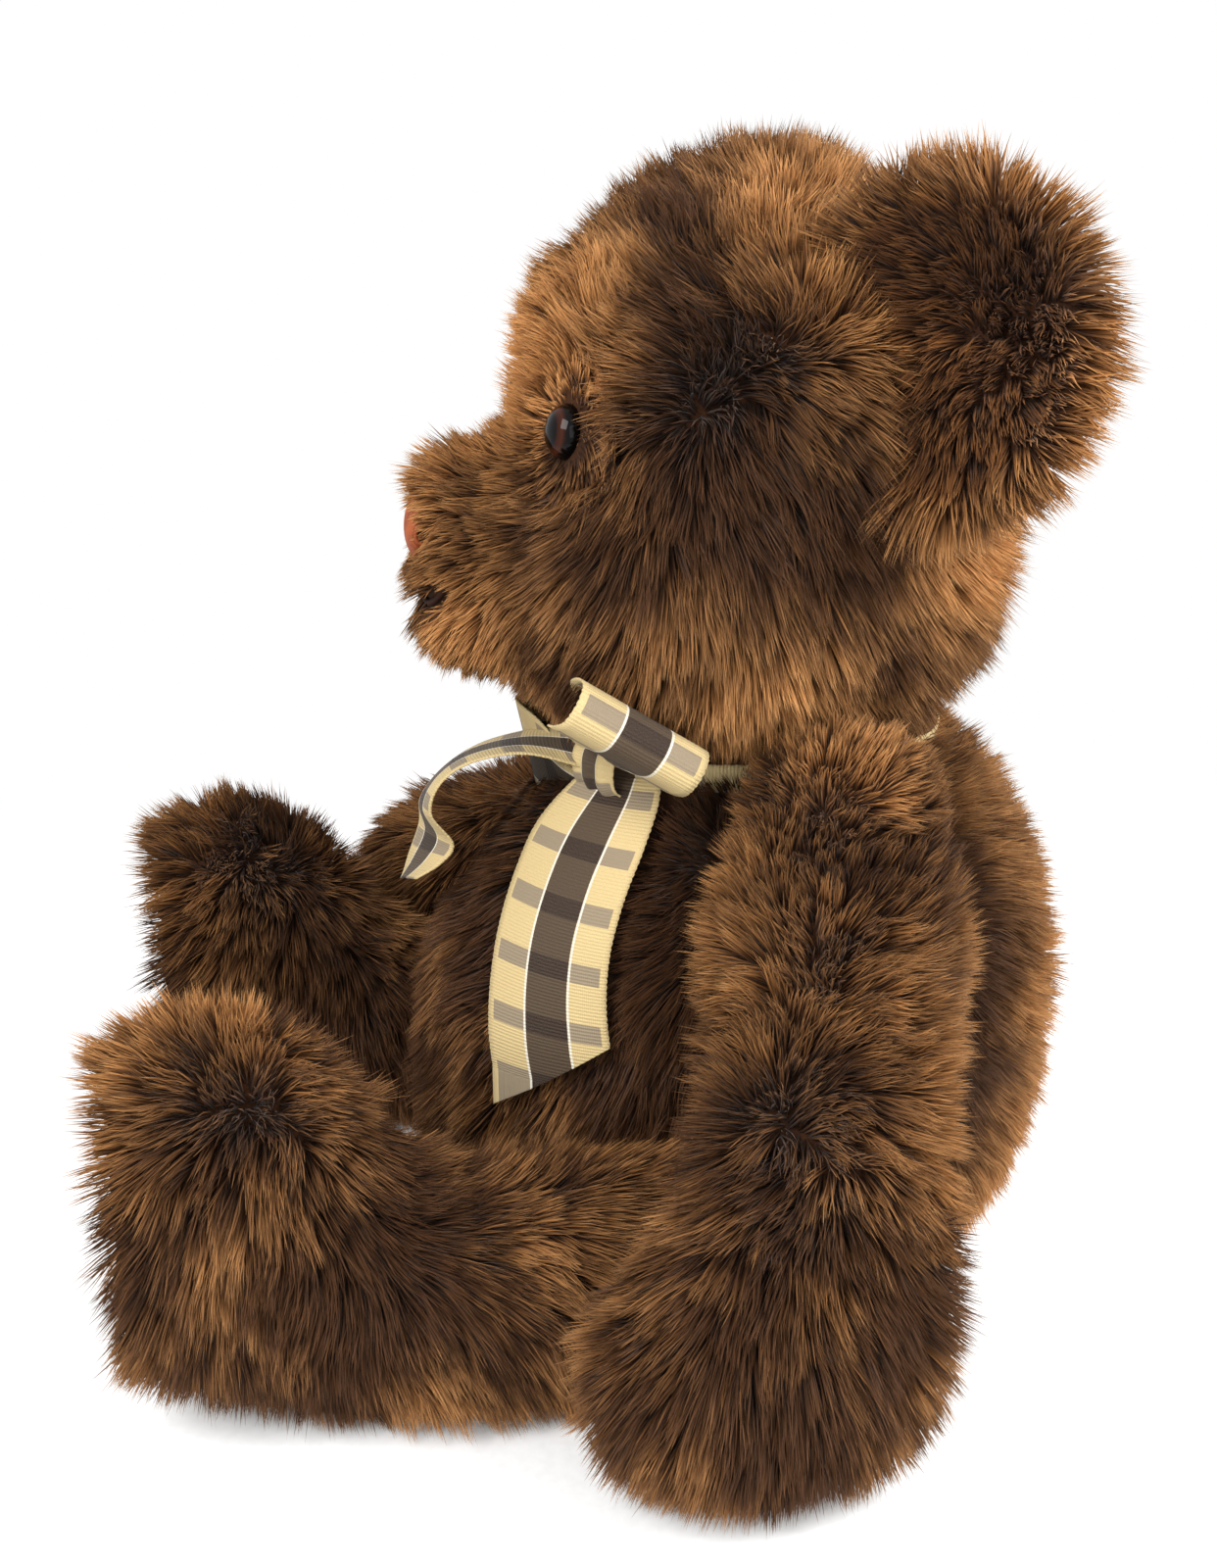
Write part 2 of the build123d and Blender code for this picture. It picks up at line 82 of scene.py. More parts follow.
class Graph:
    def __init__(self, tree):
        self.tree = tree

    def node(self, kind, settings=None, values=None, out=0):
        made = self.tree.nodes.new(kind)
        for name, value in (settings or {}).items():
            if name == "stops":
                ramp = made.color_ramp.elements
                while len(ramp) < len(value):
                    ramp.new(1)
                for element, (place, colour) in zip(ramp, value):
                    element.position, element.color = place, colour
            else:
                setattr(made, name, value)
        for name, value in (values or {}).items():
            self.put(made.inputs[name], value)
        return Wire(self, made.outputs[out])

    def put(self, socket, value):
        if isinstance(value, Wire):
            self.tree.links.new(value.socket, socket)
        else:
            socket.default_value = value

    def vector(self, operation, *values, **named):
        inputs = dict(enumerate(values))
        inputs.update(named)
        out = "Value" if operation in ("LENGTH", "DOT_PRODUCT") else 0
        return self.node("ShaderNodeVectorMath", {"operation": operation}, inputs, out)

    def mix(self, share, first, second):
        return self.node("ShaderNodeMix", {"data_type": "RGBA"}, {0: share, 6: first, 7: second}, 2)

    def ramp(self, value, *stops):
        return self.node("ShaderNodeValToRGB", {"stops": stops}, {0: value})

    def noise(self, place, scale, detail=2.0):
        values = {"Vector": place, "Scale": scale, "Detail": detail}
        return self.node("ShaderNodeTexNoise", None, values)

    def join(self, **parts):
        # a vector from its parts, such as x=..., y=...
        values = {"xyz".index(axis): value for axis, value in parts.items()}
        return self.node("ShaderNodeCombineXYZ", None, values)

    def split(self, vector):
        # the X output; other("Y") and other("Z") give the rest
        return self.node("ShaderNodeSeparateXYZ", None, {0: vector})


def light(channel):
    # one channel of a screen colour, 0 to 255, as a share of light
    share = channel / 255
    return ((share + 0.055) / 1.055) ** 2.4 if channel > 10.3 else share / 12.92


def rgb(red, green, blue):
    # a colour written as it shows on a screen
    return (light(red), light(green), light(blue), 1)


def finish(name, draw, **fixed):
    # a Principled material; draw(graph) gives its varying inputs
    material = bpy.data.materials.new(name)
    material.use_nodes = True
    graph = Graph(material.node_tree)
    shader = material.node_tree.nodes["Principled BSDF"]
    for socket, value in fixed.items():
        shader.inputs[socket.replace("_", " ")].default_value = value
    for socket, value in draw(graph).items():
        graph.put(shader.inputs[socket], value)
    return material


def objectPlace(graph):
    return graph.node("ShaderNodeTexCoord", None, None, "Object")


def bump(graph, height, strength, reach):
    values = {"Height": height, "Strength": strength, "Distance": reach}
    return graph.node("ShaderNodeBump", None, values)


def cloudy(graph, place, scale, detail, dark, pale):
    # two screen colours mixed by soft noise; also gives the noise
    noise = graph.noise(place, scale, detail)
    return graph.ramp(noise, (0.3, rgb(*dark)), (0.7, rgb(*pale))), noise


def newObject(name, data):
    thing = bpy.data.objects.new(name, data)
    scene.collection.objects.link(thing)
    return thing


# -------- camera
camera = {
    "place": (393, -95, 274),
    "turn": 81.03,  # degrees round the bear
    "dip": 20.8,  # degrees below level
    "lens": 39.49,
    "sensor": 36,
    "clip": (0.01, 20),  # metres
}


def makeCamera(spec):
    lens = bpy.data.cameras.new("camera")
    lens.lens, lens.sensor_width = spec["lens"], spec["sensor"]
    lens.clip_start, lens.clip_end = spec["clip"]
    thing = newObject("camera", lens)
    turn, dip = math.radians(spec["turn"]), math.radians(spec["dip"])
    look = Vector((-math.sin(turn) * math.cos(dip), math.cos(turn) * math.cos(dip), -math.sin(dip)))
    thing.location = Vector(spec["place"]) * mm
    thing.rotation_euler = look.to_track_quat("-Z", "Y").to_euler()
    scene.camera = thing


makeCamera(camera)
print("camera placed")


# -------- mesh helpers
def read(layer, field, width=1):
    # a field of a mesh layer as an array, with width values to a row
    values = np.zeros(len(layer) * width, np.float32)
    layer.foreach_get(field, values)
    return values.reshape(-1, width) if width > 1 else values


def write(layer, field, values):
    layer.foreach_set(field, np.asarray(values, np.float32).ravel())


def shadeSmooth(mesh, smooth=True):
    mesh.polygons.foreach_set("use_smooth", [smooth] * len(mesh.polygons))


def meshFrom(name, points, faces, smooth=True, uv=None):
    # uv is a map's name and a pair of values for each corner
    mesh = bpy.data.meshes.new(name)
    mesh.from_pydata([tuple(p) for p in points], [], faces)
    if uv:
        write(mesh.uv_layers.new(name=uv[0]).data, "uv", uv[1])
    else:
        mesh.validate()
    shadeSmooth(mesh, smooth)
    return newObject(name, mesh)


def settle(thing):
    # the evaluated object as a plain mesh, its modifiers gone
    state = bpy.context.evaluated_depsgraph_get()
    source, old = thing.evaluated_get(state), thing.data
    shape = bpy.data.meshes.new_from_object(source, preserve_all_data_layers=True, depsgraph=state)
    thing.modifiers.clear()
    thing.data = shape
    shape.name = thing.name
    if old.users == 0 and isinstance(old, bpy.types.Mesh):
        bpy.data.meshes.remove(old)
    return thing


def modifier(thing, kind, **settings):
    made = thing.modifiers.new(kind.lower(), kind)
    for name, value in settings.items():
        setattr(made, name, value)
    return made


def pointsOf(mesh):
    return read(mesh.vertices, "co", 3).astype(float)


def normalsOf(mesh):
    return read(mesh.vertex_normals, "vector", 3).astype(float)


def biggestShell(thing):
    # drops the inner walls that a remesh leaves behind
    mesh = thing.data
    parent = np.arange(len(mesh.vertices))
    ends = np.zeros(len(mesh.edges) * 2, np.int32)
    mesh.edges.foreach_get("vertices", ends)
    ends = ends.reshape(-1, 2)
    while True:
        low = np.minimum(parent[ends[:, 0]], parent[ends[:, 1]])
        before = parent.copy()
        np.minimum.at(parent, ends[:, 0], low)
        np.minimum.at(parent, ends[:, 1], low)
        parent = parent[parent]
        if (parent == before).all():
            break
    groups, sizes = np.unique(parent, return_counts=True)
    keep = parent == groups[sizes.argmax()]
    if keep.all():
        return
    number = np.cumsum(keep) - 1
    places = pointsOf(mesh)[keep]
    faces = [[int(number[v]) for v in f.vertices] for f in mesh.polygons if keep[f.vertices[0]]]
    fresh = bpy.data.meshes.new(mesh.name)
    fresh.from_pydata([tuple(p) for p in places], [], faces)
    shadeSmooth(fresh)
    thing.data = fresh


def skinOf(name, nodes, voxel=2.0, smoothing=6):
    # one closed skin round several CAD solids
    places, faces, start = [], [], 0
    for node in nodes:
        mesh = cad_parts[node].data
        places.append(pointsOf(mesh))
        faces += [[v + start for v in f.vertices] for f in mesh.polygons]
        start += len(mesh.vertices)
    thing = meshFrom(name, np.concatenate(places), faces)
    modifier(thing, "WELD", merge_threshold=0.00002)
    modifier(thing, "REMESH", mode="VOXEL", voxel_size=voxel * mm, use_smooth_shade=True)
    biggestShell(settle(thing))
    modifier(thing, "SMOOTH", iterations=smoothing, factor=0.5)
    return settle(thing)


def smoothstep(value, low, high):
    t = np.clip((value - low) / (high - low), 0, 1)
    return t * t * (3 - 2 * t)


def unit(vectors):
    return vectors / np.maximum(np.linalg.norm(vectors, axis=-1, keepdims=True), 1e-9)


def treeOf(thing):
    mesh = thing.data
    return BVHTree.FromPolygons([v.co for v in mesh.vertices], [tuple(f.vertices) for f in mesh.polygons])


def distances(tree, places, reach=0.03):
    # how far places lie from a mesh, up to a reach
    found = (tree.find_nearest(Vector(p), reach)[3] for p in places)
    return np.array([reach if far is None else far for far in found])


# -------- fur finish
def drawFur(stops):
    # colour from the strand's own map: u runs root to tip, v is the strand's tone, which carries painted
    # shade and highlights
    def draw(graph):
        along = graph.split(graph.node("ShaderNodeUVMap", {"uv_map": "OFBake"}))
        dark = graph.ramp(along, *[(at, rgb(*deep)) for at, deep, _ in stops])
        pale = graph.ramp(along, *[(at, rgb(*pale)) for at, _, pale in stops])
        return {"Base Color": graph.mix(along.other("Y"), dark, pale)}

    return draw


# share of the strand's length, its colour in dark fur and in pale fur; the tone between them carries
# painted shade and highlights as well as the fur's own tone
furStops = [
    (0.0, (24, 12, 5), (62, 37, 18)),
    (0.35, (40, 22, 9), (122, 77, 38)),
    (0.75, (60, 34, 14), (190, 132, 76)),
    (1.0, (76, 45, 20), (224, 168, 108)),
]
# darker fur for the ear's lining, painted shade in the ear's hollow
shadedEarStops = [
    (0.0, (30, 16, 8), (46, 27, 13)),
    (0.4, (52, 30, 14), (92, 56, 27)),
    (0.8, (76, 45, 21), (140, 90, 47)),
    (1.0, (94, 57, 28), (168, 114, 64)),
]
furGloss = {"Roughness": 0.6, "Specular_IOR_Level": 0.14, "Sheen_Weight": 0.08, "Sheen_Roughness": 0.45}
earGloss = {"Roughness": 0.66, "Specular_IOR_Level": 0.12, "Sheen_Weight": 0.06}
furMaterial = finish("fur", drawFur(furStops), **furGloss)
shadedEarFurMaterial = finish("ear_fur", drawFur(shadedEarStops), **earGloss)


def drawBacking(graph):
    place = objectPlace(graph)
    colour, _ = cloudy(graph, place, 90, 4, (34, 18, 8), (60, 34, 16))
    weave = graph.noise(place, 900, 2)
    return {"Base Color": colour, "Normal": bump(graph, weave, 0.6, 0.0006)}


backingMaterial = finish("pile_backing", drawBacking, Roughness=0.9, Specular_IOR_Level=0.15)


# -------- fur strands
strandFaces = ((0, 1, 3, 2), (2, 3, 4))
strandStarts = np.array([0, 4])  # the first corner of each face
strandPoints, strandCorners = 5, 7


def bladeObject():
    # one strand, a tapering blade with a unit length and width
    rows = ((0.0, 0.46), (0.55, 0.44))  # share of the length, half width
    points = [(side * half, 0, at) for at, half in rows for side in (-1, 1)] + [(0, 0, 1)]
    thing = meshFrom("blade", points, strandFaces, smooth=False)
    marks = {"tip": [p[2] for p in points], "side": [np.sign(p[0]) for p in points]}
    for name, values in marks.items():
        write(thing.data.attributes.new(name, "FLOAT", "POINT").data, "value", values)
    return thing


def openTree(name, sockets):
    # an empty Geometry Nodes group; sockets are a label, a kind and perhaps a value
    tree = bpy.data.node_groups.new(name, "GeometryNodeTree")
    for label, kind, *value in (("Geometry", "Geometry"), *sockets):
        kind = "NodeSocket" + kind
        socket = tree.interface.new_socket(label, in_out="INPUT", socket_type=kind)
        if value:
            socket.default_value = value[0]
    tree.interface.new_socket("Geometry", in_out="OUTPUT", socket_type="NodeSocketGeometry")
    graph = Graph(tree)
    return graph, graph.node("NodeGroupInput").other


def closeTree(graph, geometry):
    graph.tree.nodes.new("NodeGroupOutput")
    graph.tree.links.new(geometry.socket, graph.tree.nodes["Group Output"].inputs[0])
    return graph.tree


def runTree(thing, tree, values):
    # lets a group make the object's mesh, with values by the labels of its sockets
    growth = thing.modifiers.new(tree.name, "NODES")
    growth.node_group = tree
    for socket in tree.interface.items_tree:
        if socket.in_out == "INPUT" and socket.name in values:
            growth[socket.identifier] = values[socket.name]
    return settle(thing)


# how the strands vary: least and most shares, reaches of the tone and scales of noise
vary = {
    "length": (0.78, 1.12),
    "lockLength": (0.85, 1.12),
    "width": (0.7, 1.3),
    "wave": 0.07,
    "curl": 1.5,
    "leastRise": 0.3,
    "lockTone": 0.3,
    "strandTone": 0.26,
    "patchTone": 2.0,
    "toneScale": 36.0,
    "leanScale": 38.0,
}


def pileTree():
    # lengths here are metres
    graph, asked = openTree(
        "pile",
        (
            ("Strand", "Object"),
            ("Material", "Material"),
            ("Density", "Float"),
            ("Length", "Float"),
            ("Width", "Float"),
            ("Lock Size", "Float", 0.0034),
            ("Lock Pull", "Float", 0.5),
            ("Lock Tilt", "Float", 0.24),
            ("Patch Tilt", "Float", 1.3),
            ("Stray", "Float", 0.13),
            ("Sag", "Float", 0.002),
            ("Ground", "Float"),
            ("Seed", "Int"),
        ),
    )

    def named(name, kind="FLOAT"):
        return graph.node("GeometryNodeInputNamedAttribute", {"data_type": kind}, {"Name": name})

    def chance(low, high, seed, marker=None):
        values = {2: low, 3: high, 8: seed}
        if marker is not None:
            values[7] = marker
        return graph.node("FunctionNodeRandomValue", {"data_type": "FLOAT"}, values, 1)

    def chanceVector(seed, marker=None):
        values = {0: (-1, -1, -1), 1: (1, 1, 1), 8: seed}
        if marker is not None:
            values[7] = marker
        return graph.node("FunctionNodeRandomValue", {"data_type": "FLOAT_VECTOR"}, values, 0)

    def scaled(vector, amount):
        return graph.vector("SCALE", vector, Scale=amount)

    def scatter(density, seed):
        values = {"Mesh": asked("Geometry"), "Density": density, "Seed": seed}
        return graph.node("GeometryNodeDistributePointsOnFaces", None, values)

    def store(geometry, name, value, kind, domain="POINT"):
        settings = {"data_type": kind, "domain": domain}
        values = {"Geometry": geometry, "Name": name, "Value": value}
        return graph.node("GeometryNodeStoreNamedAttribute", settings, values)

    # roots, thinned out where the pile is clipped short
    pile = named("pile")
    seed = asked("Seed")
    roots = scatter(asked("Density") * (pile * 2).low(1), seed)
    locks = scatter(1.0 / (asked("Lock Size") * asked("Lock Size")), seed + 7)
    place = graph.node("GeometryNodeInputPosition")
    # each root belongs to its nearest lock
    values = {"Geometry": locks, "Sample Position": place}
    nearest = graph.node("GeometryNodeSampleNearest", {"domain": "POINT"}, values)
    settings = {"data_type": "FLOAT_VECTOR", "domain": "POINT"}
    values = {"Geometry": locks, "Value": place, "Index": nearest}
    toLock = graph.vector("SUBTRACT", graph.node("GeometryNodeSampleIndex", settings, values), place)
    patch = graph.noise(place, vary["leanScale"]).other("Color")
    patch = graph.vector("SUBTRACT", patch, (0.5, 0.5, 0.5))
    lean = graph.vector("ADD", roots.other("Normal"), named("comb", "FLOAT_VECTOR"))
    for push in (
        scaled(patch, asked("Patch Tilt") * 2),
        scaled(chanceVector(seed + 3, nearest), asked("Lock Tilt")),
        scaled(chanceVector(seed + 4), asked("Stray")),
    ):
        lean = graph.vector("ADD", lean, push)
    lean = graph.vector("NORMALIZE", lean)
    # strands never point into the skin
    inward = graph.vector("DOT_PRODUCT", lean, roots.other("Normal"))
    lean = graph.vector("ADD", lean, scaled(roots.other("Normal"), (vary["leastRise"] - inward).high(0)))
    length = asked("Length") * pile
    length = length * chance(*vary["length"], seed + 5)
    length = length * chance(*vary["lockLength"], seed + 6, nearest)
    wave = scaled(chanceVector(seed + 8), length * vary["wave"])
    bend = graph.vector("ADD", scaled(toLock, asked("Lock Pull")), wave)
    bend = graph.vector("ADD", bend, graph.join(z=asked("Sag") * pile * -1))
    # the tone varies by lock, by strand and in broad patches, over the painted shade and highlights
    # written on the skin
    tone = named("tone") + (chance(0.0, 1.0, seed + 9, nearest) - 0.5) * vary["lockTone"]
    tone = tone + (chance(0.0, 1.0, seed + 10) - 0.5) * vary["strandTone"]
    tone = tone + (graph.noise(place, vary["toneScale"]) - 0.5) * vary["patchTone"]
    tone = tone.high(0.02).low(0.98)
    points = store(roots, "bend", bend, "FLOAT_VECTOR")
    points = store(points, "shade", tone, "FLOAT")
    # each strand stands along its lean, turned at random about it
    turned = graph.node("FunctionNodeAlignRotationToVector", {"axis": "Z"}, {"Vector": lean})
    twist = graph.join(z=chance(0.0, math.pi, seed + 11))
    twist = graph.node("FunctionNodeEulerToRotation", None, {0: twist})
    settings = {"rotation_space": "LOCAL"}
    turned = graph.node("FunctionNodeRotateRotation", settings, {0: turned, 1: twist})
    width = asked("Width") * chance(*vary["width"], seed + 12)
    size = graph.join(x=width, y=width, z=length)
    strand = graph.node("GeometryNodeObjectInfo", None, {"Object": asked("Strand")}, "Geometry")
    values = {"Points": points, "Instance": strand, "Rotation": turned, "Scale": size}
    strands = graph.node("GeometryNodeInstanceOnPoints", None, values)
    strands = graph.node("GeometryNodeRealizeInstances", None, {0: strands})
    curl = scaled(named("bend", "FLOAT_VECTOR"), named("tip") ** vary["curl"])
    strands = graph.node("GeometryNodeSetPosition", None, {"Geometry": strands, "Offset": curl})
    # what lies under the bear is pressed flat
    ended = graph.split(graph.node("GeometryNodeInputPosition"))
    pressed = graph.join(x=ended, y=ended.other("Y"), z=ended.other("Z").high(asked("Ground")))
    values = {"Geometry": strands, "Position": pressed}
    strands = graph.node("GeometryNodeSetPosition", None, values)
    # the map stays a little inside its square
    along, shade = named("tip") * 0.98 + 0.01, named("shade") + named("side") * 0.012
    bakePlace = graph.join(x=along, y=shade)
    strands = store(strands, "OFBake", bakePlace, "FLOAT2", "CORNER")
    values = {"Geometry": strands, "Material": asked("Material")}
    return closeTree(graph, graph.node("GeometryNodeSetMaterial", None, values))


blade = bladeObject()
pile = pileTree()
furSpec = {"length": 12.4, "width": 0.4, "density": 2.65, "ground": 0.4}  # density per mm2
quickShare, quickWidth = ((1.0, 1.0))


def strandMesh(name, places, bakes, material):
    # a plain mesh of strands from their points and their bake map
    count = len(places)
    mesh = bpy.data.meshes.new(name)
    mesh.vertices.add(count * strandPoints)
    write(mesh.vertices, "co", places)
    number = np.arange(count)[:, None]
    corners = np.concatenate([np.array(f) for f in strandFaces]) + number * strandPoints
    mesh.loops.add(count * strandCorners)
    mesh.loops.foreach_set("vertex_index", corners.astype(np.int32).ravel())
    starts = strandStarts + number * strandCorners
    mesh.polygons.add(starts.size)
    mesh.polygons.foreach_set("loop_start", starts.astype(np.int32).ravel())
    mesh.update(calc_edges=True)
    write(mesh.uv_layers.new(name="OFBake").data, "uv", bakes)
    mesh.materials.append(material)
    return newObject(name, mesh)


def inParts(thing, parts, material):
    # shares a body's strands out between several pieces, from front to back
    mesh, name = thing.data, thing.name
    places = read(mesh.vertices, "co", 3).reshape(-1, strandPoints, 3)
    bakes = read(mesh.uv_layers["OFBake"].data, "uv", 2).reshape(-1, strandCorners, 2)
    order = np.argsort(places[:, 0, 1], kind="stable")
    bpy.data.objects.remove(thing)
    names = [name] if parts == 1 else [f"{name}_{n + 1}" for n in range(parts)]
    shares = np.array_split(order, parts)
    return [strandMesh(n, places[own], bakes[own], material) for n, own in zip(names, shares)]


def growFur(skin, name, body, material, seed, parts=1, share=None):
    # strands on a skin, which carries their comb, pile and tone
    thing = newObject(name, skin.data.copy())
    if share is not None:
        layer = thing.data.attributes["pile"].data
        write(layer, "value", read(layer, "value") * share.astype(np.float32))
    spec = {
        "Strand": blade,
        "Material": material,
        "Density": furSpec["density"] * 1e6 * quickShare,
        "Length": furSpec["length"] * mm,
        "Width": furSpec["width"] * mm * quickWidth,
        "Ground": furSpec["ground"] * mm,
        "Seed": seed,
    }
    for coat in inParts(runTree(thing, pile, spec), parts, material):
        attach(coat, body)
        print(coat.name, len(coat.data.polygons))


def dress(skin, comb, pileLength, tone):
    # writes the fur's guide values on a skin's points
    mesh = skin.data
    normals = normalsOf(mesh)
    comb = comb - normals * (comb * normals).sum(1, keepdims=True)
    for name, kind, values, field in (
        ("comb", "FLOAT_VECTOR", comb, "vector"),
        ("pile", "FLOAT", pileLength, "value"),
        ("tone", "FLOAT", tone, "value"),
    ):
        write(mesh.attributes.new(name, kind, "POINT").data, field, values)


def splayFrom(places, centres, gain, drift=(0, -0.1, -0.6)):
    # fur that lies away from a centre on each side of the body
    away = places - centres
    away[:, 0] *= 0.35
    far = np.linalg.norm(away, axis=1)
    comb = unit(away) * (gain * smoothstep(far, 4, 52))[:, None]
    return comb + np.array(drift) * (1.9 - 1.5 * smoothstep(far, 8, 46))[:, None]


def sideways(places, left):
    # a centre for each point, mirrored for the bear's right side
    centre = np.tile(np.array(left, float), (len(places), 1))
    centre[places[:, 0] < 0, 0] *= -1
    return centre


def middleOf(node):
    low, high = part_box(node)
    return np.array((low + high) / 2) / mm


def leftHalf(places):
    # right-hand places moved to their mirror places on the left
    return np.abs(places[:, 0:1]) * [1, 0, 0] + places * [0, 1, 1]


def addSkin(name, nodes, material=backingMaterial, **options):
    skin = skinOf(name, nodes, **options)
    skin.data.materials.clear()
    skin.data.materials.append(material)
    return skin


def reshape(skin, change):
    # change works on an array of places in millimetres
    places = pointsOf(skin.data) / mm
    change(places)
    write(skin.data.vertices, "co", places * mm)
    skin.data.update()


def finishSkin(skin, body, nodes):
    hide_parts(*nodes)
    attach(skin, body)


# -------- skins
torsoNodes = ["torso_cover_left", "torso_cover_right", "torso_filling"]
headNodes = ["head_cover_left", "head_cover_right", "head_gusset", "head_filling"]
limbNodes = {
    limb: [f"{limb}_inner", f"{limb}_outer", f"{limb}_filling"]
    for limb in ("arm_left", "arm_right", "leg_left", "leg_right")
}
earNodes = {side: [f"ear_{side}_front", f"ear_{side}_back"] for side in sides}
torsoSkin = addSkin("torso_skin", torsoNodes)
headSkin = addSkin("head_skin", headNodes)
limbSkins = {limb: addSkin(f"{limb}_skin", nodes) for limb, nodes in limbNodes.items()}

# the paws are a little slacker outside and underneath than their patterns,
# and so are the toes underneath
pawSlack = {"start": 104, "share": 0.6, "foot": 26, "lift": 0.2}
toeLift = {"start": 92, "end": 136, "foot": 30, "lift": 0.3}


def slackenPaw(places):
    side = np.sign(places[:, 0].mean())
    out = places[:, 0] * side
    drawnIn = pawSlack["start"] + (out - pawSlack["start"]) * pawSlack["share"]
    places[:, 0] = side * np.where(out > pawSlack["start"], drawnIn, out)
    places[:, 2] += np.clip(pawSlack["foot"] - places[:, 2], 0, None) * pawSlack["lift"]


def liftToes(places):
    under = np.clip(toeLift["foot"] - places[:, 2], 0, None)
    forward = smoothstep(-places[:, 1], toeLift["start"], toeLift["end"])
    places[:, 2] += under * toeLift["lift"] * forward


for side in sides:
    reshape(limbSkins[f"arm_{side}"], slackenPaw)
    reshape(limbSkins[f"leg_{side}"], liftToes)
earSkins = {
    side: addSkin(f"ear_{side}_skin", nodes, voxel=1.3, smoothing=3)
    for side, nodes in earNodes.items()
}
print("skins made")


# -------- combing
def nearness(places, centre, inner, outer):
    # 1 inside the inner distance, 0 beyond the outer one
    return 1 - smoothstep(np.linalg.norm(places - np.array(centre, float), axis=1), inner, outer)


def sideCast(tree, start, way):
    # where a ray first meets a skin, in millimetres
    hit, normal, _, _ = tree.ray_cast(Vector(start) * mm, Vector(way).normalized())
    return np.array(hit) / mm, np.array(normal)


torsoTree, headTree = treeOf(torsoSkin), treeOf(headSkin)
shoulder, hip = (43, 10, 112), (38, 2, 26)
# where the fur parts on each side, and other spots of the head
torsoWhorl, headWhorl = (45, 6, 84), (52, -2, 203)
tuft, brow, cheek = (0, -70, 203), (0, -58, 224), (50, -8, 200)
face = {
    "eye": (27.5, 214),  # across and up
    "eyeRadius": 6.0,
    "eyeHeight": 4.6,
    "eyeLift": 0.7,
    "noseLevel": 189,
    "noseSize": (19, 13, 5),
    "mouth": ((0, 183), (0, 177)),
    "smile": ((0, 177), (4, 174), (9, 173), (14, 175.5), (17, 179)),
    "thread": 0.7,
}
mouthPath = [*face["mouth"], *face["smile"][1:]]


def faceCast(across, up):
    # the place on the head seen straight from the front
    return sideCast(headTree, (across, -150, up), (0, 1, 0))


# a spot on the left half, full within, gone beyond, and how much lighter it is: painted highlights where
# the pile catches the light, and painted shade where the value is below zero
headPaintedLight = (
    ((30, 8, 250), 8, 30, 0.6),
    ((18, -46, 232), 10, 30, 0.62),
    ((44, 4, 163), 10, 30, 0.42),
    ((46, 30, 190), 5, 20, 0.5),
    ((22, -68, 168), 6, 18, 0.28),
    ((36, -42, 222), 2, 8, 0.3),
    ((0, -58, 222), 8, 30, 0.5),
    ((6, -76, 196), 6, 18, 0.25),
    ((36, -52, 184), 8, 26, -0.22),
)


def combTorso():
    p = pointsOf(torsoSkin.data) / mm
    _, y, z = p.T
    comb = splayFrom(p, sideways(p, torsoWhorl), 0.95)
    front = smoothstep(-y, 10, 55)
    comb += front[:, None] * np.array([0, 0, -0.55])
    # short at the joints, under the chin and ribbon, and underneath
    length = np.ones(len(p))
    mirrored = leftHalf(p)
    length -= 0.78 * nearness(mirrored, shoulder, 19, 27)
    length -= 0.78 * nearness(mirrored, hip, 22, 32)
    chest = smoothstep(z, 108, 122) * smoothstep(-y, -12, 14)
    length -= 0.25 * chest + 0.15 * smoothstep(z, 126, 131)
    length -= 0.65 * (1 - smoothstep(z, 2, 12))
    for tail in ("bow_tail_left", "bow_tail_right"):
        under = distances(treeOf(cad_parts[tail]), p * mm) / mm
        length -= 0.55 * (1 - smoothstep(under, 2, 5))
    # painted shade and highlight: the fur is darker at the front and round the middle of each side, and
    # lighter towards the back
    out = np.hypot(y - torsoWhorl[1], z - torsoWhorl[2])
    back = smoothstep(y, -14, 36)
    tone = -0.1 + (0.1 + 0.56 * back) * smoothstep(out, 28, 74)
    # painted shade under the head: the top of the torso is darker
    tone -= 0.25 * smoothstep(z, 120, 130)
    dress(torsoSkin, comb, np.clip(length, 0.12, 1.1), tone)


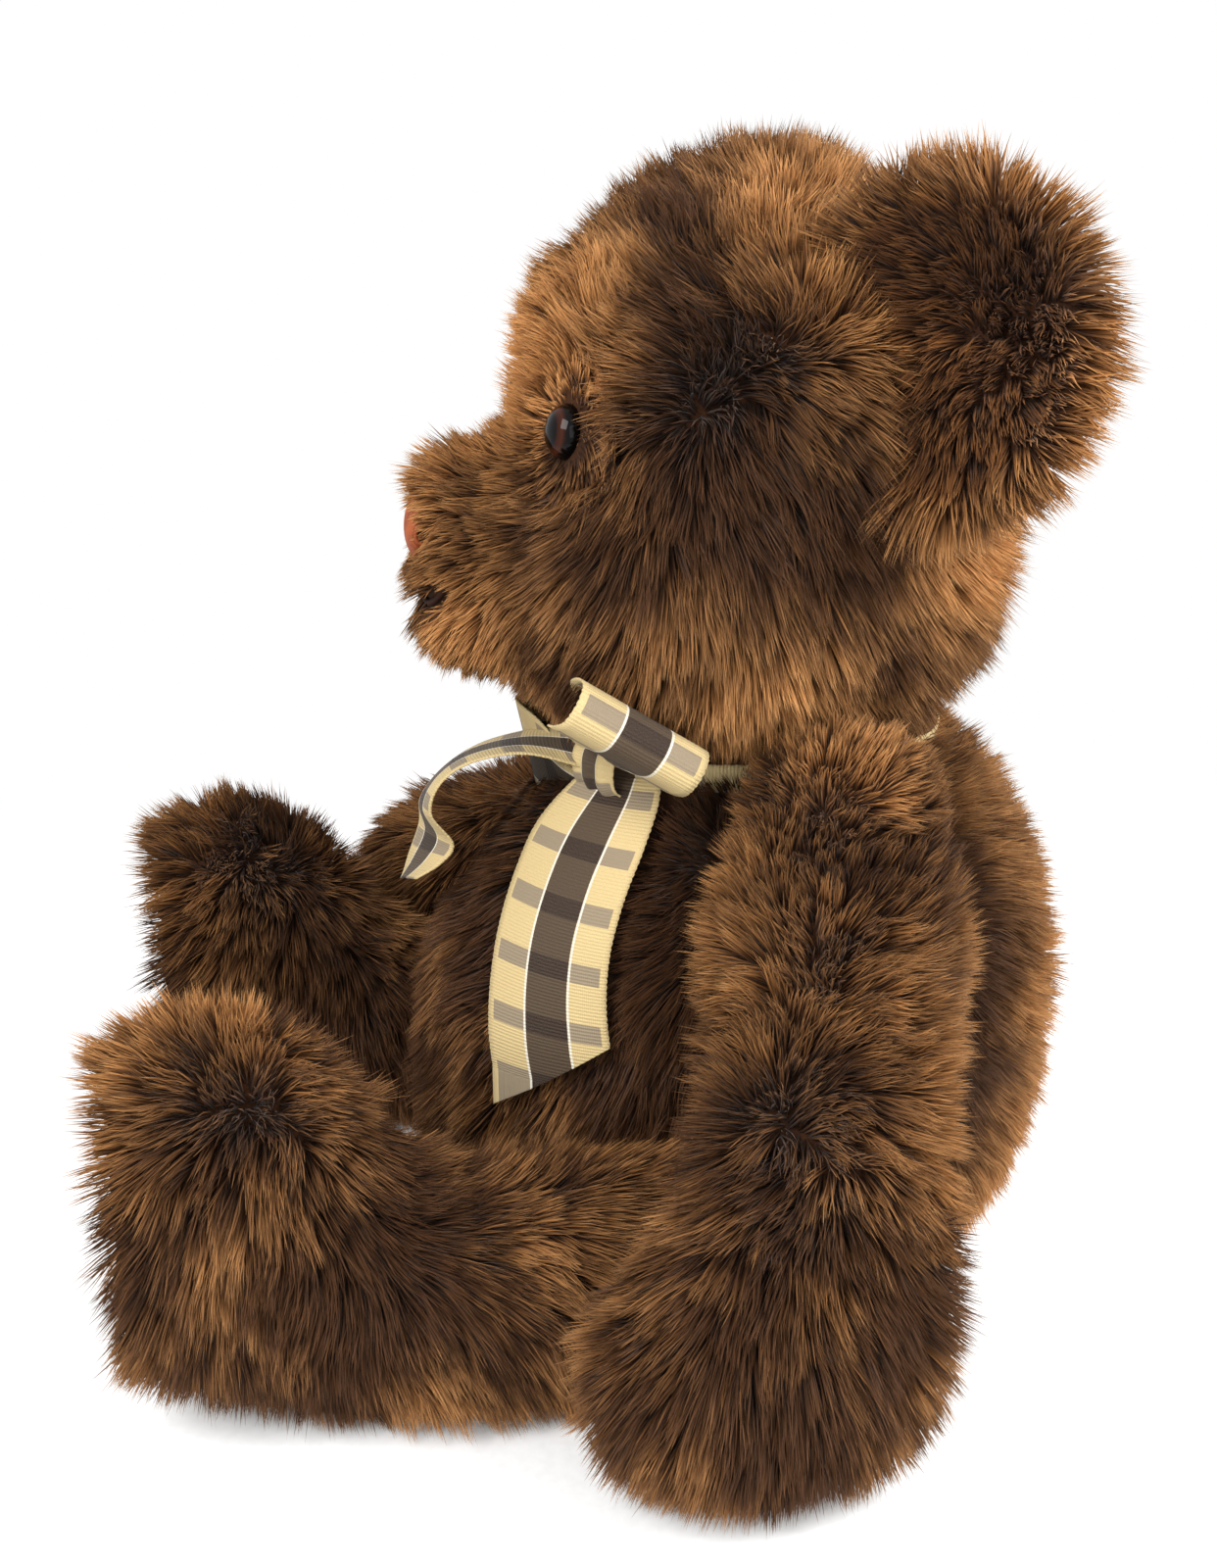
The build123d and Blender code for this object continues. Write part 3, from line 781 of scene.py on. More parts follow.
def combHead():
    p = pointsOf(headSkin.data) / mm
    x, y, z = p.T
    comb = splayFrom(p, sideways(p, headWhorl), 1.1, (0, 0.4, -0.6))
    # the tuft over the nose points forwards
    snout = nearness(p, tuft, 6, 22)[:, None]
    comb = comb * (1 - snout) + np.array([0, -1.2, 0.1]) * snout
    # the brow's fur lies upwards and outwards
    high = nearness(p, brow, 10, 36)[:, None]
    upward = np.stack([x / 40, np.full(len(p), 0.1), np.full(len(p), 0.7)], 1)
    comb = comb * (1 - high) + upward * high
    mirrored = leftHalf(p)
    eyeHit, _ = faceCast(*face["eye"])
    fromEye = unit(p - np.where(p[:, 0:1] < 0, eyeHit * [-1, 1, 1], eyeHit))
    close = nearness(mirrored, eyeHit, 8, 19)
    comb = comb * (1 - close[:, None]) + fromEye * 1.7 * close[:, None]
    # short on the snout and round the eyes, none under the eyes and the nose
    length = np.ones(len(p))
    length -= 0.38 * smoothstep(-y, 38, 62)
    length += 0.3 * snout[:, 0]
    length *= 1 - 0.68 * nearness(mirrored, eyeHit, 8.5, 17)
    length[np.linalg.norm(mirrored - eyeHit, axis=1) < 6.6] = 0
    width, height, _ = face["noseSize"]
    fromNose = np.hypot(x / (width / 2), (z - face["noseLevel"]) / (height / 2))
    front, muzzle = -y > 60, -y > 45
    length = np.where(front & (fromNose < 0.95), 0, length)
    length = np.where(front, length * (0.5 + 0.5 * smoothstep(fromNose, 1.0, 1.9)), length)
    for (a, b), (c, d) in zip(mouthPath[:-1], mouthPath[1:]):
        for t in np.linspace(0, 1, 5):
            spot = np.hypot(mirrored[:, 0] - (a + (c - a) * t), z - (b + (d - b) * t))
            parted = length * (0.35 + 0.65 * smoothstep(spot, 0.8, 3.4))
            length = np.where(muzzle, parted, length)
    chin = smoothstep(-y, -12, 14)
    low, lowest = 1 - smoothstep(z, 150, 168), 1 - smoothstep(z, 139, 148)
    length -= (0.3 * low + 0.3 * lowest) * chin
    tone = 0.2 + 0.14 * smoothstep(-y, 34, 60)
    # painted highlights: light bands over the crown, the brow, along the jaw and before the ear, with a
    # spot of painted shade on the cheek
    for spot, near, far, gain in headPaintedLight:
        tone += gain * nearness(mirrored, spot, near, far)
    # painted shade over the cheek; the fur is also darker in a ring round the eye
    tone -= 0.22 * nearness(mirrored, cheek, 10, 32) + 0.35 * nearness(mirrored, eyeHit, 6, 11)
    # painted shade under the head: the lowest fur is darker
    tone -= 0.3 * (1 - smoothstep(z, 142, 154))
    dress(headSkin, comb, np.clip(length, 0.0, 1.1), tone)


def combLimb(limb, side, centre, joint, reach):
    # joint and reach tell where the fur is short against the torso
    arm = limb.startswith("arm")
    skin = limbSkins[limb]
    p = pointsOf(skin.data) / mm
    _, y, z = p.T
    comb = splayFrom(p, centre, 1.0)
    length = np.ones(len(p))
    inward = -normalsOf(skin.data)[:, 0] * side
    hidden = nearness(p, (side * joint[0], *joint[1:]), reach * 0.7, reach)
    length -= 0.8 * hidden * smoothstep(inward, 0.1, 0.5)
    away = distances(treeOf(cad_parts[padNodes[limb]]), p * mm) / mm
    length *= smoothstep(away, 2.2, 4.0)
    length -= 0.6 * (1 - smoothstep(z, 2, 16))
    if arm:
        length -= 0.35 * smoothstep(z, 112, 130)
        length -= 0.25 * (1 - smoothstep(z, 10, 40)) * smoothstep(-inward, 0.1, 0.6)
    out = np.linalg.norm((p - centre) * [0.35, 1, 1], axis=1)
    # painted shade: darker at the middle of each limb's outer side, lighter towards its edges
    tone = -0.06 + 0.4 * smoothstep(out, 18, 48)
    if arm:
        # painted highlight: a light strip down the front of the arm
        tone += 0.3 * smoothstep(-y, 12, 24) * smoothstep(z, 50, 70)
    dress(skin, comb, np.clip(length, 0.0, 1.1), tone)


def combEar(side):
    # returns how much of each place is the lining
    skin = earSkins[side]
    p = pointsOf(skin.data) / mm
    normals = normalsOf(skin.data)
    facing = np.array([sides[side] * 0.62, -0.77, 0.12])
    facing /= np.linalg.norm(facing)
    away = p - middleOf(f"ear_{side}_front")
    away -= facing * (away @ facing)[:, None]
    out = np.linalg.norm(away, axis=1)
    comb = unit(away) * (0.2 + 1.0 * smoothstep(out, 6, 26))[:, None]
    inside = smoothstep(normals @ facing, -0.1, 0.35)
    length = 0.86 - 0.28 * inside * (1 - smoothstep(out, 20, 29))
    length += 0.08 * smoothstep(out, 24, 30)
    # painted shade: the ear's fur is darker in the middle and lighter towards its rim
    dress(skin, comb, length, 0.3 + 0.34 * smoothstep(out, 16, 31))
    return inside * (1 - smoothstep(out, 24.5, 26.5))


combTorso()
combHead()
padNodes = {limb: f"{limb}_paw_pad" if "arm" in limb else f"{limb}_sole" for limb in limbSkins}
for name, side in sides.items():
    arm, leg = f"arm_{name}", f"leg_{name}"
    middle = middleOf(f"{arm}_outer")
    centre = middleOf(padNodes[arm]) * 0.6 + middle * 0.4
    centre[0] = middle[0] + side * 8
    combLimb(arm, side, centre, shoulder, 26)
    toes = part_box(f"{leg}_outer")[0][1] / mm
    centre = np.array([middleOf(f"{leg}_outer")[0] + side * 8, toes + 34, 52])
    combLimb(leg, side, centre, hip, 32)
print("combed")

# -------- growing
growFur(torsoSkin, "torso_fur", "torso", furMaterial, 21, parts=4)
growFur(headSkin, "head_fur", "head", furMaterial, 31, parts=3)
for (limb, skin), seed in zip(limbSkins.items(), (41, 51, 61, 71)):
    growFur(skin, f"{limb}_fur", limb, furMaterial, seed, parts=1 if "arm" in limb else 2)
for (side, skin), seed in zip(earSkins.items(), (81, 91)):
    # the lining takes the darker fur, painted shade in the ear's hollow
    lining = combEar(side)
    growFur(skin, f"ear_{side}_lining", "head", shadedEarFurMaterial, seed, share=lining)
    growFur(skin, f"ear_{side}_fur", "head", furMaterial, seed, share=1 - lining)

finishSkin(torsoSkin, "torso", torsoNodes)
finishSkin(headSkin, "head", headNodes)
for limb, skin in limbSkins.items():
    finishSkin(skin, limb, limbNodes[limb])
for side, skin in earSkins.items():
    finishSkin(skin, "head", earNodes[side])
bpy.data.objects.remove(blade)


# -------- pads
def drawSuede(graph):
    place = objectPlace(graph)
    colour, _ = cloudy(graph, place, 120, 4, (92, 62, 38), (128, 90, 58))
    nap = graph.noise(place, 2200, 3)
    relief = bump(graph, nap, 0.5, 0.0003)
    return {"Base Color": colour, "Roughness": nap * 0.2 + 0.72, "Normal": relief}


suedeGloss = {"Specular_IOR_Level": 0.2, "Sheen_Weight": 0.3, "Sheen_Roughness": 0.5}
suede = finish("pad_suede", drawSuede, **suedeGloss)
for limb, node in padNodes.items():
    pad = addSkin(node + "_cloth", [node], suede, voxel=0.9, smoothing=4)
    finishSkin(pad, limb, [node])
print("pads made")


# -------- eyes
def drawGlassEye(graph):
    # u runs from the middle of the eye to its rim, v round it
    out = graph.split(graph.node("ShaderNodeUVMap", {"uv_map": "dial"}))
    rays = graph.noise(graph.join(x=out * 2.0, y=out.other("Y") * 40.0), 3.0, 3.0)
    stops = [(share, rgb(*colour)) for share, colour in irisStops]
    return {"Base Color": graph.ramp(out + (rays - 0.5) * 0.08, *stops)}


irisStops = (
    (0.0, (6, 4, 4)),
    (0.6, (7, 4, 4)),
    (0.7, (44, 19, 10)),
    (0.82, (58, 26, 13)),
    (0.9, (20, 10, 7)),
    (0.95, (6, 5, 5)),
)


eyeGlass = finish("eye_glass", drawGlassEye, Roughness=0.04, Specular_IOR_Level=0.14)


def makeEye(side, sign):
    # a glass dome on the skin, with a narrower back sunk into it
    seat, normal = faceCast(sign * face["eye"][0], face["eye"][1])
    seat = seat + normal * face["eyeLift"]
    rings, spokes = 16, 48
    radius, height = face["eyeRadius"], face["eyeHeight"]
    angles = np.linspace(0, math.pi / 2, rings)
    profile = [(radius * math.sin(a), height * math.cos(a)) for a in angles]
    profile += [(radius * 0.97, -0.8), (radius * 0.7, -3.2), (0, -3.2)]
    turn = Vector(normal).to_track_quat("Z", "Y").to_matrix()
    points, faces, dial = [], [], []
    for r, h in profile:
        for k in range(spokes):
            a = 2 * math.pi * k / spokes
            place = Vector((r * math.cos(a), r * math.sin(a), h))
            points.append((Vector(seat) + turn @ place) * mm)
    out = [min(1.0, r / radius) if h >= 0 else 1.0 for r, h in profile]
    for i in range(len(profile) - 1):
        first, second = i * spokes, (i + 1) * spokes
        for k in range(spokes):
            n = (k + 1) % spokes
            faces.append((first + k, second + k, second + n, first + n))
            v0, v1 = k / spokes, (k + 1) / spokes
            dial += [(out[i], v0), (out[i + 1], v0), (out[i + 1], v1), (out[i], v1)]
    thing = meshFrom(f"eye_{side}_glass", points, faces, uv=("dial", dial))
    modifier(thing, "WELD", merge_threshold=0.000005)
    settle(thing)
    thing.data.materials.append(eyeGlass)
    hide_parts(f"eye_{side}")
    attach(thing, "head")


for side, sign in sides.items():
    makeEye(side, sign)
print("eyes made")


# -------- nose and mouth
def drawThread(graph):
    place = objectPlace(graph)
    colour, _ = cloudy(graph, place, 260, 3, (120, 56, 27), (160, 82, 43))
    twist = graph.noise(place, 3000, 2)
    return {"Base Color": colour, "Normal": bump(graph, twist, 0.35, 0.0002)}


def drawMouthThread(graph):
    colour, _ = cloudy(graph, objectPlace(graph), 260, 3, (30, 15, 9), (48, 25, 14))
    return {"Base Color": colour}


noseThread = finish("nose_thread", drawThread, Roughness=0.5, Specular_IOR_Level=0.2)
mouthThread = finish("mouth_thread", drawMouthThread, Roughness=0.7, Specular_IOR_Level=0.1)


def stitchTree():
    # threads laid side by side over an oval pad
    labels = ("Width", "Height", "Depth", "Thread")
    sockets = (("Threads", "Int"), *((label, "Float") for label in labels))
    graph, asked = openTree("satin", (*sockets, ("Material", "Material")))
    left, right = graph.join(x=asked("Width") * -0.5), graph.join(x=asked("Width") * 0.5)
    values = {"Count": asked("Threads"), "Start Location": left, "Offset": right}
    line = graph.node("GeometryNodeMeshLine", {"mode": "END_POINTS"}, values)
    across = graph.split(graph.node("GeometryNodeInputPosition"))
    share = across / (asked("Width") * 0.53)
    oval = (1 - (share * share).low(0.99)) ** 0.5
    # one arched thread in each column, shorter towards the sides
    values = {"Resolution": 17, "Radius": 1.0, "Start Angle": 0.0, "Sweep Angle": math.pi}
    arc = graph.node("GeometryNodeCurveArc", {"mode": "RADIUS"}, values)
    values = {"Geometry": arc, "Rotation": (math.pi / 2, 0, math.pi / 2)}
    arc = graph.node("GeometryNodeTransform", None, values)
    values = {2: 0.95, 3: 1.05, 8: 3}  # least, most and seed
    ragged = graph.node("FunctionNodeRandomValue", {"data_type": "FLOAT"}, values, 1)
    height = asked("Height") * oval * ragged * 0.5
    size = graph.join(x=1.0, y=height, z=asked("Depth") * oval**0.7)
    values = {"Points": line, "Instance": arc, "Scale": size}
    rows = graph.node("GeometryNodeInstanceOnPoints", None, values)
    rows = graph.node("GeometryNodeRealizeInstances", None, {0: rows})
    values = {"Resolution": 8, "Radius": asked("Thread")}
    thread = graph.node("GeometryNodeCurvePrimitiveCircle", None, values)
    values = {"Curve": rows, "Profile Curve": thread, "Fill Caps": True}
    rows = graph.node("GeometryNodeCurveToMesh", None, values)
    values = {"Geometry": rows, "Material": asked("Material")}
    return closeTree(graph, graph.node("GeometryNodeSetMaterial", None, values))


def makeNose():
    width, height, depth = (v * mm for v in face["noseSize"])
    thing = newObject("nose_stitches", bpy.data.meshes.new("nose_stitches"))
    spec = {"Threads": 23, "Width": width, "Height": height, "Depth": depth * 0.62}
    runTree(thing, stitchTree(), {**spec, "Thread": 0.00052, "Material": noseThread})
    seat, normal = faceCast(0, face["noseLevel"])
    # the arcs rise along Z from a pad that faces +Z: turn it to face the normal
    out = Vector(normal)
    right = Vector((1, 0, 0))
    up = out.cross(right).normalized()
    turn = Matrix((right, up, out)).transposed().to_4x4()
    thing.data.transform(Matrix.Translation(Vector(seat) * mm) @ turn)
    shadeSmooth(thing.data)
    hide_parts("nose")
    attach(thing, "head")


def makeThreadLine(name, path):
    # a thread along a path of places across and up on the face
    curve = bpy.data.curves.new(name, "CURVE")
    curve.dimensions = "3D"
    curve.bevel_depth = face["thread"] * mm
    curve.bevel_resolution = 3
    curve.use_fill_caps = True
    line = curve.splines.new("NURBS")
    places = [faceCast(x, z) for x, z in path]
    line.points.add(len(places) - 1)
    for point, (place, normal) in zip(line.points, places):
        point.co = (*((place + normal * 0.6) * mm), 1)
    line.order_u = 3
    line.use_endpoint_u = True
    thing = newObject(name, curve)
    state = bpy.context.evaluated_depsgraph_get()
    mesh = bpy.data.meshes.new_from_object(thing.evaluated_get(state))
    bpy.data.objects.remove(thing)
    thing = newObject(name, mesh)
    mesh.materials.append(mouthThread)
    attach(thing, "head")


makeNose()
makeThreadLine("mouth_line", face["mouth"])
makeThreadLine("smile_left", face["smile"])
makeThreadLine("smile_right", [(-x, z) for x, z in face["smile"]])
print("nose and mouth stitched")


# -------- ribbon
ribbon = {
    "width": 32.0,
    "thickness": 0.45,
    "row": 0.55,  # the mesh's step along the ribbon
    "columns": 22,
    "picot": 0.3,  # teeth on the edges
    "picotPitch": 1.5,
    "barPitch": 14.0,
    "bar": 4.6,
    "rib": 0.8,
    "warp": 0.5,
    # shares of the width
    "stripe": (0.355, 0.70),
    "pins": (0.345, 0.712),
    "pinHalf": 0.009,
    "marginHalf": 0.452,
}


def drawPlaid(graph):
    # u runs across the ribbon from 0 to 1, v along it in ribbon widths
    across = graph.split(graph.node("ShaderNodeUVMap", {"uv_map": "weave"}))
    along = across.other("Y")
    pitch, bar = ribbon["barPitch"] / ribbon["width"], ribbon["bar"] / ribbon["barPitch"]
    phase = graph.node("ShaderNodeMath", {"operation": "FRACT"}, {0: along / pitch + 10.0})
    inBar = phase.under(bar)
    stripe = across.over(ribbon["stripe"][0]) * across.under(ribbon["stripe"][1])
    left, right = ((across - middle).abs().under(ribbon["pinHalf"]) for middle in ribbon["pins"])
    pin = left.high(right)
    margin = (across - 0.5).abs().under(ribbon["marginHalf"])
    cloth = graph.mix(stripe, rgb(204, 181, 130), rgb(66, 54, 42))
    barred = graph.mix(stripe, rgb(142, 128, 106), rgb(28, 18, 18))
    cloth = graph.mix(inBar * margin, cloth, barred)
    cloth = graph.mix(pin, cloth, rgb(222, 216, 200))
    speck = graph.noise(graph.join(x=across * 90.0, y=along * 30.0), 3.0, 2.0)
    cloth = graph.mix((speck - 0.35).high(0).low(0.3), cloth, rgb(120, 100, 78))
    ribs = (along * (ribbon["width"] / ribbon["rib"] * 2 * math.pi)).sine()
    warp = (across * (ribbon["width"] / ribbon["warp"] * 2 * math.pi)).sine()
    relief = bump(graph, ribs + warp * 0.45 + speck * 0.6, 0.5, 0.00012)
    return {"Base Color": cloth, "Normal": relief}


plaid = finish("woven_ribbon", drawPlaid, Roughness=0.62, Specular_IOR_Level=0.16, Sheen_Weight=0.04)


def smoothRows(rows, step):
    # rows of (first edge, second edge), made even and smooth along the ribbon
    rows = np.array(rows, float)
    middle = rows.mean(1)
    gaps = np.linalg.norm(np.diff(middle, axis=0), axis=1)
    place = np.concatenate([[0], np.cumsum(gaps)])
    count = max(4, int(place[-1] / step))
    fine = np.linspace(0, place[-1], count)
    made = np.zeros((count, *rows.shape[1:]))
    for n, s in enumerate(fine):
        # a Catmull-Rom spline through the rows
        i = min(np.searchsorted(place, s, side="right") - 1, len(place) - 2)
        t = (s - place[i]) / (place[i + 1] - place[i])
        a, b, c, d = rows[max(i - 1, 0)], rows[i], rows[i + 1], rows[min(i + 2, len(rows) - 1)]
        square, cube = 2 * a - 5 * b + 4 * c - d, 3 * b - a - 3 * c + d
        made[n] = 0.5 * (2 * b + (c - a) * t + square * t**2 + cube * t**3)
    return made, fine


def ribbonSheet(name, grid, along, node, held, closed=False, phase=0.0, flat=None):
    # grid[row, column] are points, along is how far along the ribbon they lie,
    # flat is the sheet's flat size when it isn't the whole width by that length, and is not used
    rows, columns = grid.shape[:2]
    grid = grid.copy()
    if along.ndim == 1:
        along = np.repeat(along[:, None], columns, 1)
    for edge, inner in ((0, 1), (-1, -2)):
        tooth = ribbon["picot"] * np.abs(np.sin(along[:, edge] * math.pi / ribbon["picotPitch"]))
        grid[:, edge] += unit(grid[:, edge] - grid[:, inner]) * tooth[:, None]
    points = grid.reshape(-1, 3) * mm
    faces, weave = [], []
    last = rows if closed else rows - 1
    total = along.max() + (ribbon["row"] if closed else 0)
    place = along / ribbon["width"] + phase
    for i in range(last):
        j = (i + 1) % rows
        low, high = place[i], place[j] if j else np.full(columns, total / ribbon["width"] + phase)
        for k in range(columns - 1):
            first, second = i * columns + k, j * columns + k
            faces.append((first, first + 1, second + 1, second))
            u0, u1 = k / (columns - 1), (k + 1) / (columns - 1)
            weave += [(u0, low[k]), (u1, low[k + 1]), (u1, high[k + 1]), (u0, high[k])]
    thing = meshFrom(name, points, faces, uv=("weave", weave))
    modifier(thing, "SOLIDIFY", thickness=ribbon["thickness"] * mm, offset=0.0)
    settle(thing)
    thing.data.materials.append(plaid)
    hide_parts(node)
    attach(thing, "torso")


def spread(edges, bow=0.0, way=None):
    # fills the width between two edges, bowed by a little along a direction
    share = np.linspace(0, 1, ribbon["columns"])[None, :, None]
    grid = edges[:, 0][:, None] * (1 - share) + edges[:, 1][:, None] * share
    if bow:
        grid = grid + np.array(way, float) * bow * (1 - (2 * share - 1) ** 2)
    return grid


def level(degrees):
    # a level direction, turned from straight ahead to the bear's left
    turn = math.radians(degrees)
    return np.array([math.sin(turn), -math.cos(turn), 0])


def aroundChest(angle, offset, height, lift):
    # a place on the chest, seen along a level direction
    way = level(angle)
    across = np.array([-way[1], way[0], 0])
    start = way * 150 + across * offset + np.array([0, 0, height])
    hit, _ = sideCast(torsoTree, start, -way)
    return hit + way * lift


def cutSlant(grid, along, front, back):
    # pulls the last rows to a slanted cut between two heights
    top = grid[0, 0, 2]
    columns = grid.shape[1]
    made, run = grid.copy(), np.zeros(grid.shape[:2])
    for k, share in enumerate(np.linspace(0, 1, columns)):
        end = front * (1 - share) + back * share
        column = grid[:, k]
        wanted = top + (column[:, 2] - top) * (top - end) / (top - column[-1, 2])
        order = np.argsort(column[:, 2])
        for axis in range(2):
            made[:, k, axis] = np.interp(wanted, column[order, 2], column[order, axis])
        made[:, k, 2] = wanted
        run[:, k] = np.interp(wanted, column[order, 2], along[order])
    return made, run


knotMiddle = middleOf("bow_knot")

# the near tail lies on the chest in a soft S
nearTail = {
    "angle": 51,
    "rows": (  # height, front edge, back edge, lift
        (138, -17, -5, 2.5),
        (131, -23, 0, 6.0),
        (122, -29, 1, 8.0),
        (112, -32, -0.5, 7.0),
        (100, -33, -1.5, 6.5),
        (88, -32.5, -1, 6.0),
        (76, -31, 1, 6.0),
        (66, -29.5, 2.5, 6.0),
    ),
    "frontEnd": 56,
    "backEnd": 78,
    "flat": (0.032, 0.068),  # metres, along the middle of the slanted cut
}
edges = [
    [aroundChest(nearTail["angle"], edge, height, lift) for edge in (front, back)]
    for height, front, back, lift in nearTail["rows"]
]
edges, along = smoothRows(edges, ribbon["row"])
grid = spread(edges, 2.2, level(nearTail["angle"]))
grid, along = cutSlant(grid, along, nearTail["frontEnd"], nearTail["backEnd"])
cut = {"phase": 0.13, "flat": nearTail["flat"]}
ribbonSheet("tail_left_ribbon", grid, along, "bow_tail_left", "draped", **cut)
print("near tail laid")

# the far tail springs out over the tummy and turns over once
farTail = (
    # middle, then the direction and half width of the weft there
    ((17, -41, 139), (0.6, 0.1, -0.6), 6),
    ((10, -54, 138.5), (0.95, -0.08, 0.08), 11),
    ((6, -66, 135), (0.96, -0.1, 0.2), 14),
    ((3, -74, 128.5), (0.95, -0.08, 0.24), 15.5),
    ((0, -78, 120), (0.95, 0.02, 0.22), 16),
    ((-1, -76, 112), (0.93, 0.2, 0.2), 16),
    ((-2, -79, 105), (0.92, 0.2, 0.3), 16),
    ((-4, -83, 99), (0.93, 0.08, 0.4), 16),
)
edges = []
for middle, weft, half in farTail:
    edge = unit(np.array(weft, float)) * half
    edges.append([np.array(middle, float) - edge, np.array(middle, float) + edge])
edges, along = smoothRows(edges, ribbon["row"])
grid = spread(edges, 1.5, (0.2, -0.9, 0.3))
ribbonSheet("tail_right_ribbon", grid, along, "bow_tail_right", "draped", phase=0.4)


def loopRibbon(name, node, spec):
    # a flattened loop: out from the knot, round its end and back
    reach, weft = (unit(np.array(spec[key], float)) for key in ("reach", "weft"))
    weft = unit(weft - reach * (weft @ reach))
    normal = np.cross(reach, weft)
    start = knotMiddle + reach * 5 + np.array(spec["rise"])
    length, half = spec["length"], spec["half"]
    # share of the length, height over the middle, share of the width
    path = [
        (0.0, 0.8, 0.30),
        (0.22, 0.75 * half, 0.62),
        (0.5, half, 0.92),
        (0.78, half * 1.05, 1.0),
        (0.94, half * 0.8, 1.0),
        (1.0, 0.0, 1.0),
    ]
    path += [(t, -h, w) for t, h, w in reversed(path[:-1])]
    rows = []
    for t, h, share in path:
        middle = start + reach * t * length + normal * h
        edge = weft * ribbon["width"] / 2 * share
        rows.append([middle - edge, middle + edge])
    edges, along = smoothRows(rows, ribbon["row"])
    grid = spread(edges)
    # gathers fade away from the knot
    share = np.linspace(0, 1, ribbon["columns"])
    out = ((grid.mean(1) - start) @ reach) / length
    depth = 1.6 * np.clip(1 - out * 1.8, 0, 1)
    pleat = np.sin(share * math.pi * 5)[None, :] * depth[:, None]
    grid = grid + normal * pleat[:, :, None]
    ribbonSheet(name, grid, along, node, "gathered", phase=spec["phase"])


nearLoop = {
    "reach": (0.95, 0.17, 0.24),
    "weft": (-0.12, 0.82, -0.57),
    "length": 32,
    "half": 5.4,
    "rise": (-1, -4.5, 9.5),
    "phase": 0.3,
}
farLoop = {
    "reach": (-0.95, -0.30, 0.0),
    "weft": (0.1, -0.2, 0.97),
    "length": 32,
    "half": 5.0,
    "rise": (0, 0, -6.5),
    "phase": 0.1,
}
loopRibbon("loop_left_ribbon", "bow_loop_left", nearLoop)
loopRibbon("loop_right_ribbon", "bow_loop_right", farLoop)


knotTurn = 31  # degrees


def knotRibbon():
    # one turn of ribbon drawn tight round the middle of the bow
    way = level(knotTurn)
    reach = unit(np.cross(way, (0, 0, 1)))
    turns, turnLength = 72, 42
    high, deep, half = 6.6, 5.2, 7.2
    along = np.linspace(0, turnLength, turns, endpoint=False)
    share = np.linspace(-1, 1, ribbon["columns"])
    swell = 1 - 0.16 * np.abs(share) ** 3 + 0.07 * np.sin(share * math.pi * 3)
    middle = knotMiddle + np.array([0, 0, 0.5])
    grid = np.zeros((turns, ribbon["columns"], 3))
    for i in range(turns):
        a = 2 * math.pi * i / turns
        up = math.sin(a)
        # the power flattens the top and the bottom
        rim = np.array([0, 0, 1]) * high * up * abs(up) ** -0.25 if abs(up) > 1e-6 else np.zeros(3)
        rim = rim + way * deep * math.cos(a)
        grid[i] = middle + rim[None, :] * swell[:, None] + reach[None, :] * (share * half)[:, None]
    fold = {"closed": True, "phase": 0.62, "flat": (0.016, 0.042)}
    ribbonSheet("knot_ribbon", grid, along, "bow_knot", "gathered", **fold)


knotRibbon()


def neckRibbon():
    # folded three deep round the neck
    tree = treeOf(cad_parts["neck_ribbon"])
    turns, height = 220, 134.2
    folds = [(-3.6, 0.2), (3.8, 0.5), (-3.2, 1.1), (4.2, 1.7)]  # up, and out from the neck
    share = np.linspace(0, len(folds) - 1, ribbon["columns"])
    up, proud = (np.interp(share, range(len(folds)), part) for part in zip(*folds))
    grid = np.zeros((turns, ribbon["columns"], 3))
    for i in range(turns):
        a = 2 * math.pi * i / turns
        way = Vector((math.sin(a), -math.cos(a), 0))
        hit = tree.ray_cast(way * 0.12 + Vector((0, 0, height * mm)), -way)[0]
        grid[i] = np.array(hit) / mm + np.array(way) * proud[:, None]
        grid[i, :, 2] = height + up
    gaps = np.linalg.norm(np.diff(grid.mean(1), axis=0), axis=1)
    along = np.concatenate([[0], np.cumsum(gaps)])
    flat = (ribbon["width"] * mm, float(along[-1] * mm))
    ring = {"closed": True, "flat": flat}
    ribbonSheet("neck_ribbon_cloth", grid, along, "neck_ribbon", "gathered", **ring)


neckRibbon()
print("bow tied")


# -------- hidden hardware
def drawBoard(graph):
    colour, fibre = cloudy(graph, objectPlace(graph), 700, 4, (96, 66, 40), (134, 98, 62))
    return {"Base Color": colour, "Normal": bump(graph, fibre, 0.4, 0.0003)}


def drawSteel(graph):
    pale = (186, 186, 182)
    colour, turned = cloudy(graph, objectPlace(graph), 1400, 3, (150, 150, 148), pale)
    return {"Base Color": colour, "Roughness": turned * 0.25 + 0.2}


board = finish("hardboard", drawBoard, Roughness=0.8)
steel = finish("plated_steel", drawSteel, Metallic=1.0)
for node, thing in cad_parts.items():
    if thing.hide_render:
        continue
    made = board if "disc" in node else steel
    if not thing.material_slots:
        thing.data.materials.append(made)
    for spot in thing.material_slots:
        spot.link = "OBJECT"
        spot.material = made
print("hardware finished")


# -------- floor and light
stage = {"half": 6.0, "plainFrom": 0.12, "plainAt": 0.42, "sky": 0.55}  # metres


